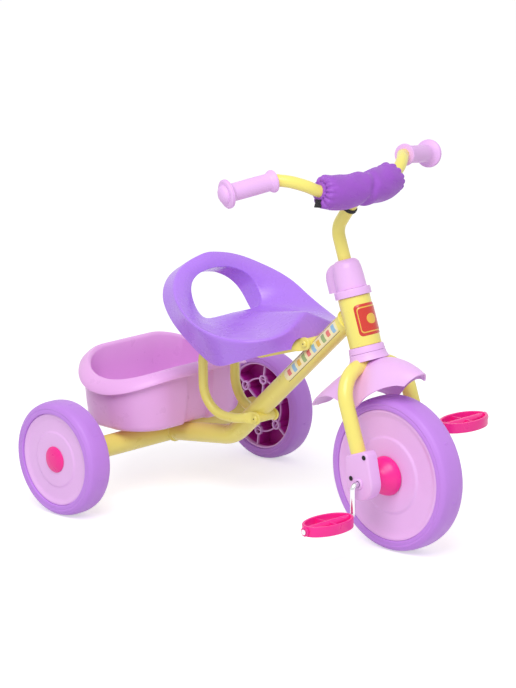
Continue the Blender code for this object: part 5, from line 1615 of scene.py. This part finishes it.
# Seat: a bucket blow-moulded in violet plastic. Its back is a wide hoop with a hand hole, its
# pan dips between two thigh rises, and a skirt falls all round to hide the struts.
SEAT_WALL = 0.003
SEAT_RIM = [
    (0.103, 0, 0.422), (0.105, 0.040, 0.415), (0.112, 0.073, 0.4045), (0.128, 0.100, 0.390),
    (0.151, 0.121, 0.375), (0.176, 0.133, 0.360), (0.206, 0.1373, 0.3415),
    (0.245, 0.1325, 0.328), (0.285, 0.119, 0.3215), (0.322, 0.092, 0.3225),
    (0.338, 0.060, 0.3293), (0.3385, 0.030, 0.3440), (0.333, 0, 0.3595),
]
SEAT_RIDGE = [
    (0.117, 0, 0.396), (0.119, 0.028, 0.3935), (0.1225, 0.047, 0.3875), (0.130, 0.0615, 0.3795),
    (0.139, 0.0705, 0.368), (0.148, 0.0728, 0.352), (0.157, 0.0715, 0.339),
    (0.162, 0.063, 0.3290), (0.1628, 0.046, 0.327), (0.1625, 0.032, 0.327),
    (0.162, 0.019, 0.327), (0.1615, 0.009, 0.327), (0.161, 0, 0.327),
]
SEAT_HEM = [
    (0.0795, 0, 0.407), (0.0805, 0.040, 0.400), (0.0860, 0.073, 0.389), (0.099, 0.098, 0.3725),
    (0.117, 0.113, 0.352), (0.142, 0.115, 0.323), (0.178, 0.107, 0.290), (0.221, 0.103, 0.2656),
    (0.262, 0.104, 0.2750), (0.298, 0.088, 0.2890), (0.330, 0.047, 0.2990),
    (0.346, 0.020, 0.3020), (0.347, 0, 0.3020),
]
SEAT_BACK = [
    (0.084, 0, 0.383), (0.086, 0.025, 0.3805), (0.0895, 0.042, 0.3745), (0.097, 0.0545, 0.3660),
    (0.106, 0.0635, 0.3540), (0.1155, 0.0680, 0.3400), (0.128, 0.0680, 0.3240),
    (0.145, 0.062, 0.3120), (0.152, 0.046, 0.3080), (0.152, 0.032, 0.3080),
    (0.152, 0.019, 0.3080), (0.152, 0.009, 0.3080), (0.152, 0, 0.3080),
]
HOOP_CROWN = 0.0035
CROWN_WAY = Vector((0.85, 0, 0.5))
HOOP_POINTS = 6
SEAT_VIOLET = linear(186, 128, 248)
NOTCH_ROOM = 0.003
BOSS_BORE = 0.0023
BOSS_WIDTH = 0.014
BOSS_HEIGHT = 0.031


def seat_loop(half):
    """A smooth row round the seat from its left half, back to front."""
    half = through(half, 2)
    return half + [mirrored(p) for p in half[-2:0:-1]]


def between(near, far, shares):
    """Rows at shares of the way from one row of points to another."""
    return [[a.lerp(b, share) for a, b in zip(near, far)] for share in shares]


def seat_mesh():
    """The bucket's skin given its wall, with arches cut for the main tube and the struts."""
    back_row, ridge = seat_loop(SEAT_BACK), seat_loop(SEAT_RIDGE)
    rim, hem = seat_loop(SEAT_RIM), seat_loop(SEAT_HEM)
    shares = (0.08, 0.22, 0.38, 0.54, 0.72, 0.90)
    inside = between(ridge, rim, shares)
    for share, row in zip(shares, inside):
        for i, spot in enumerate(row):
            in_hoop = max(0.0, 1 - min(i, len(row) - i) / (2 * HOOP_POINTS + 2))
            crown = HOOP_CROWN * min(1.0, in_hoop * 2.5) * math.sin(math.pi * share)
            row[i] = spot + CROWN_WAY * crown
    rows = [back_row] + between(back_row, ridge, (0.35, 0.72, 0.93)) + [ridge] + inside
    rows += [rim] + between(rim, hem, (0.22, 0.62, 0.94)) + [hem]
    mesh = facing_up(skin(rows, sharp=180))
    mesh.transform(BODY)
    arches = [(main_corner, tube_stop, MAIN_RADIUS + NOTCH_ROOM)]
    for side in (1, -1):
        aside = Vector((0, side * (strut_end - 0.002), 0))
        arches.append((Vector((STRUT_TOP_END, 0, STRUT_HIGH)) + aside, upper_lug + aside,
                       STRUT_RADIUS + NOTCH_ROOM))
        arches.append((upper_lug + aside, upper_bolt + aside + Vector((0.03, 0, 0)),
                       LUG_RADIUS + NOTCH_ROOM))
    shell = shelled(subdivided(mesh), SEAT_WALL, -1, 0.0008)
    return smoothed(cut(shell, *[tubing([start, end], radius, violet, BODY, 32)
                                 for start, end, radius in arches]), 40)


violet = finish("moulded_violet", SEAT_VIOLET, (0.22, 0.36), clouds=0.035, cloud_size=12.0,
                grain=900.0, depth=0.00005, scuffs=0.18, coat_weight=0.15, coat_roughness=0.2)
seat_skin = seat_mesh()
bosses = [ring(BOSS_BORE, BOSS_WIDTH / 2, 0, BOSS_HEIGHT, 0.0006,
               BODY @ Matrix.Translation(spot + strut_skin), 32) for spot in seat_fixings]
piece("bucket_seat", joined(seat_skin, *bosses), violet, "frame", "purple_plastic", "seat")

# Basket: an open tub moulded in orchid plastic, with a flared rim that turns down as a skirt,
# a dent in its front wall for the seat's struts, and a foot that stands on the cross beam.
BASKET_CENTRE = -0.0106
BASKET_HALF_X = 0.0832
BASKET_HALF_Y = 0.134
BASKET_RIM = 0.2114
BASKET_CORNER = 0.0829
RIM_FLARE = 0.0212
RIM_SKIRT = 0.0239
RIM_SADDLE = 0.030
BODY_INSET = 0.012
BODY_TAPER = 0.008
BASKET_WALL = 0.0025
FLOOR_ROUND = 0.010
RECESS_HALF = 0.025
RECESS_DEPTH = 0.008
RECESS_BLEND = 0.004
FOOT_HALF_X = 0.010
FOOT_HALF_Y = 0.055
SHELL_ORCHID = linear(244, 182, 244)
tub = RIM_FLARE - BODY_INSET
tub_foot = tub - BODY_TAPER
front_foot = BASKET_CENTRE + BASKET_HALF_X + tub_foot
floor_height = rear_axle.z + rise * front_foot + MAIN_RADIUS / math.cos(LOWER_ANGLE) + SEAM


def tub_row(grow, corner, height, saddle=1.0, dent=1.0, count=240):
    """A level of the tub: a rounded rectangle, dented in front, whose height follows the rim."""
    half_x, half_y = BASKET_HALF_X + grow, BASKET_HALF_Y + grow
    corner = min(corner, half_x - 0.001)
    runs = [(half_y - corner) * 2, (half_x - corner) * 2] * 2
    quarter = corner * math.pi / 2
    whole = sum(runs) + 4 * quarter
    row = []
    for i in range(count):
        s = (whole * i / count + runs[0] / 2) % whole
        for turn_from, ((cx, cy), run) in enumerate(zip(CORNERS, runs)):
            if s < run + quarter:
                first = turn_from * math.pi / 2
                past = max(0.0, s - run) / corner
                out = Vector((math.cos(first + past), math.sin(first + past)))
                spot = Vector((cx * (half_x - corner), cy * (half_y - corner))) + out * corner
                if s < run:
                    spot += Vector((out.y, -out.x)) * (run - s)
                break
            s -= run + quarter
        x, y = spot
        if x > 0 and abs(y) < RECESS_HALF + RECESS_BLEND:
            x -= dent * RECESS_DEPTH * min(1.0, (RECESS_HALF - abs(y)) / RECESS_BLEND + 1)
        lift = saddle * RIM_SADDLE * ((BASKET_CENTRE + x) / 0.1) ** 2
        row.append((BASKET_CENTRE + x, y, height + lift))
    return row


def tub_mesh():
    """The tub from its floor up the outside, over the rim and down the inside."""
    skirt_foot = BASKET_RIM - RIM_SKIRT
    wall = BASKET_WALL
    # levels: growth past the half sizes, corner, height, share of the saddle, share of the dent
    levels = [
        (tub_foot - 0.060, 0.020, floor_height, 0, 0), (tub_foot - FLOOR_ROUND, 0.062, floor_height, 0, 1),
        (tub_foot - 0.006, 0.065, floor_height + 0.0007, 0, 1),
        (tub_foot - 0.0028, 0.068, floor_height + 0.0030, 0, 1),
        (tub_foot - 0.0007, 0.070, floor_height + 0.0062, 0, 1),
        (tub_foot, 0.071, floor_height + FLOOR_ROUND, 0.05, 1),
        (tub - 0.004, 0.077, (floor_height + skirt_foot) / 2, 0.25, 1),
        (tub, 0.084, skirt_foot + 0.004, 0.5, 1), (tub, 0.084, BASKET_RIM - 0.0125, 0.95, 0.3),
        (tub + 0.001, 0.085, BASKET_RIM - 0.0102, 1, 0), (tub + 0.004, 0.088, BASKET_RIM - 0.0128, 1, 0),
        (RIM_FLARE - wall - 0.0015, 0.096, BASKET_RIM - 0.0184, 1, 0),
        (RIM_FLARE - wall, 0.098, skirt_foot + 0.0012, 1, 0),
        (RIM_FLARE - wall + 0.0005, 0.099, skirt_foot, 1, 0),
        (RIM_FLARE - 0.0005, 0.102, skirt_foot, 1, 0), (RIM_FLARE, 0.102, skirt_foot + 0.0008, 1, 0),
        (RIM_FLARE - 0.0008, 0.101, BASKET_RIM - 0.0195, 1, 0),
        (RIM_FLARE - 0.0042, 0.098, BASKET_RIM - 0.0138, 1, 0),
        (RIM_FLARE - 0.0095, 0.093, BASKET_RIM - 0.0065, 1, 0),
        (0.0066, 0.088, BASKET_RIM - 0.0014, 1, 0), (0.0038, BASKET_CORNER, BASKET_RIM, 1, 0),
        (0.0012, 0.082, BASKET_RIM - 0.0008, 1, 0), (0.0, BASKET_CORNER, BASKET_RIM - 0.004, 1, 0),
        (tub - wall - 0.0028, 0.081, skirt_foot - 0.001, 0.5, 1),
        (tub - wall - 0.006, 0.076, (floor_height + skirt_foot) / 2, 0.25, 1),
        (tub_foot - wall, 0.069, floor_height + FLOOR_ROUND, 0.05, 1),
        (tub_foot - wall - 0.0010, 0.068, floor_height + 0.0072, 0, 1),
        (tub_foot - wall - 0.0035, 0.066, floor_height + 0.0042, 0, 1),
        (tub_foot - FLOOR_ROUND, 0.062, floor_height + wall, 0, 1),
        (tub_foot - 0.060, 0.020, floor_height + wall, 0, 0),
    ]
    mesh = closed(skin([tub_row(*level) for level in levels]), 250)
    mesh.transform(BODY)
    return smoothed(mesh, 60)


orchid = finish("moulded_orchid", SHELL_ORCHID, (0.26, 0.40), clouds=0.03, cloud_size=14.0,
                grain=900.0, depth=0.00005, scuffs=0.20)
foot_block = rounded_block((-FOOT_HALF_X, -FOOT_HALF_Y, rear_axle.z + BEAM_RADIUS + SEAM),
                           (FOOT_HALF_X, FOOT_HALF_Y, floor_height + 0.001), 0.0012)
foot_block.transform(BODY)
piece("rear_basket", joined(tub_mesh(), foot_block), orchid, "frame", "basket_plastic", "basket")
BASKET_SCREW_PLACE = 0.035
screws("basket_screws", [(BODY @ Vector((0, side * BASKET_SCREW_PLACE,
                                         floor_height + BASKET_WALL - 0.0008)), (0, 0, 1))
                         for side in (1, -1)], "frame", "dark_steel",
       "basket_screw_left", "basket_screw_right")
bpy.data.objects.remove(screw, do_unlink=True)

low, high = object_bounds()
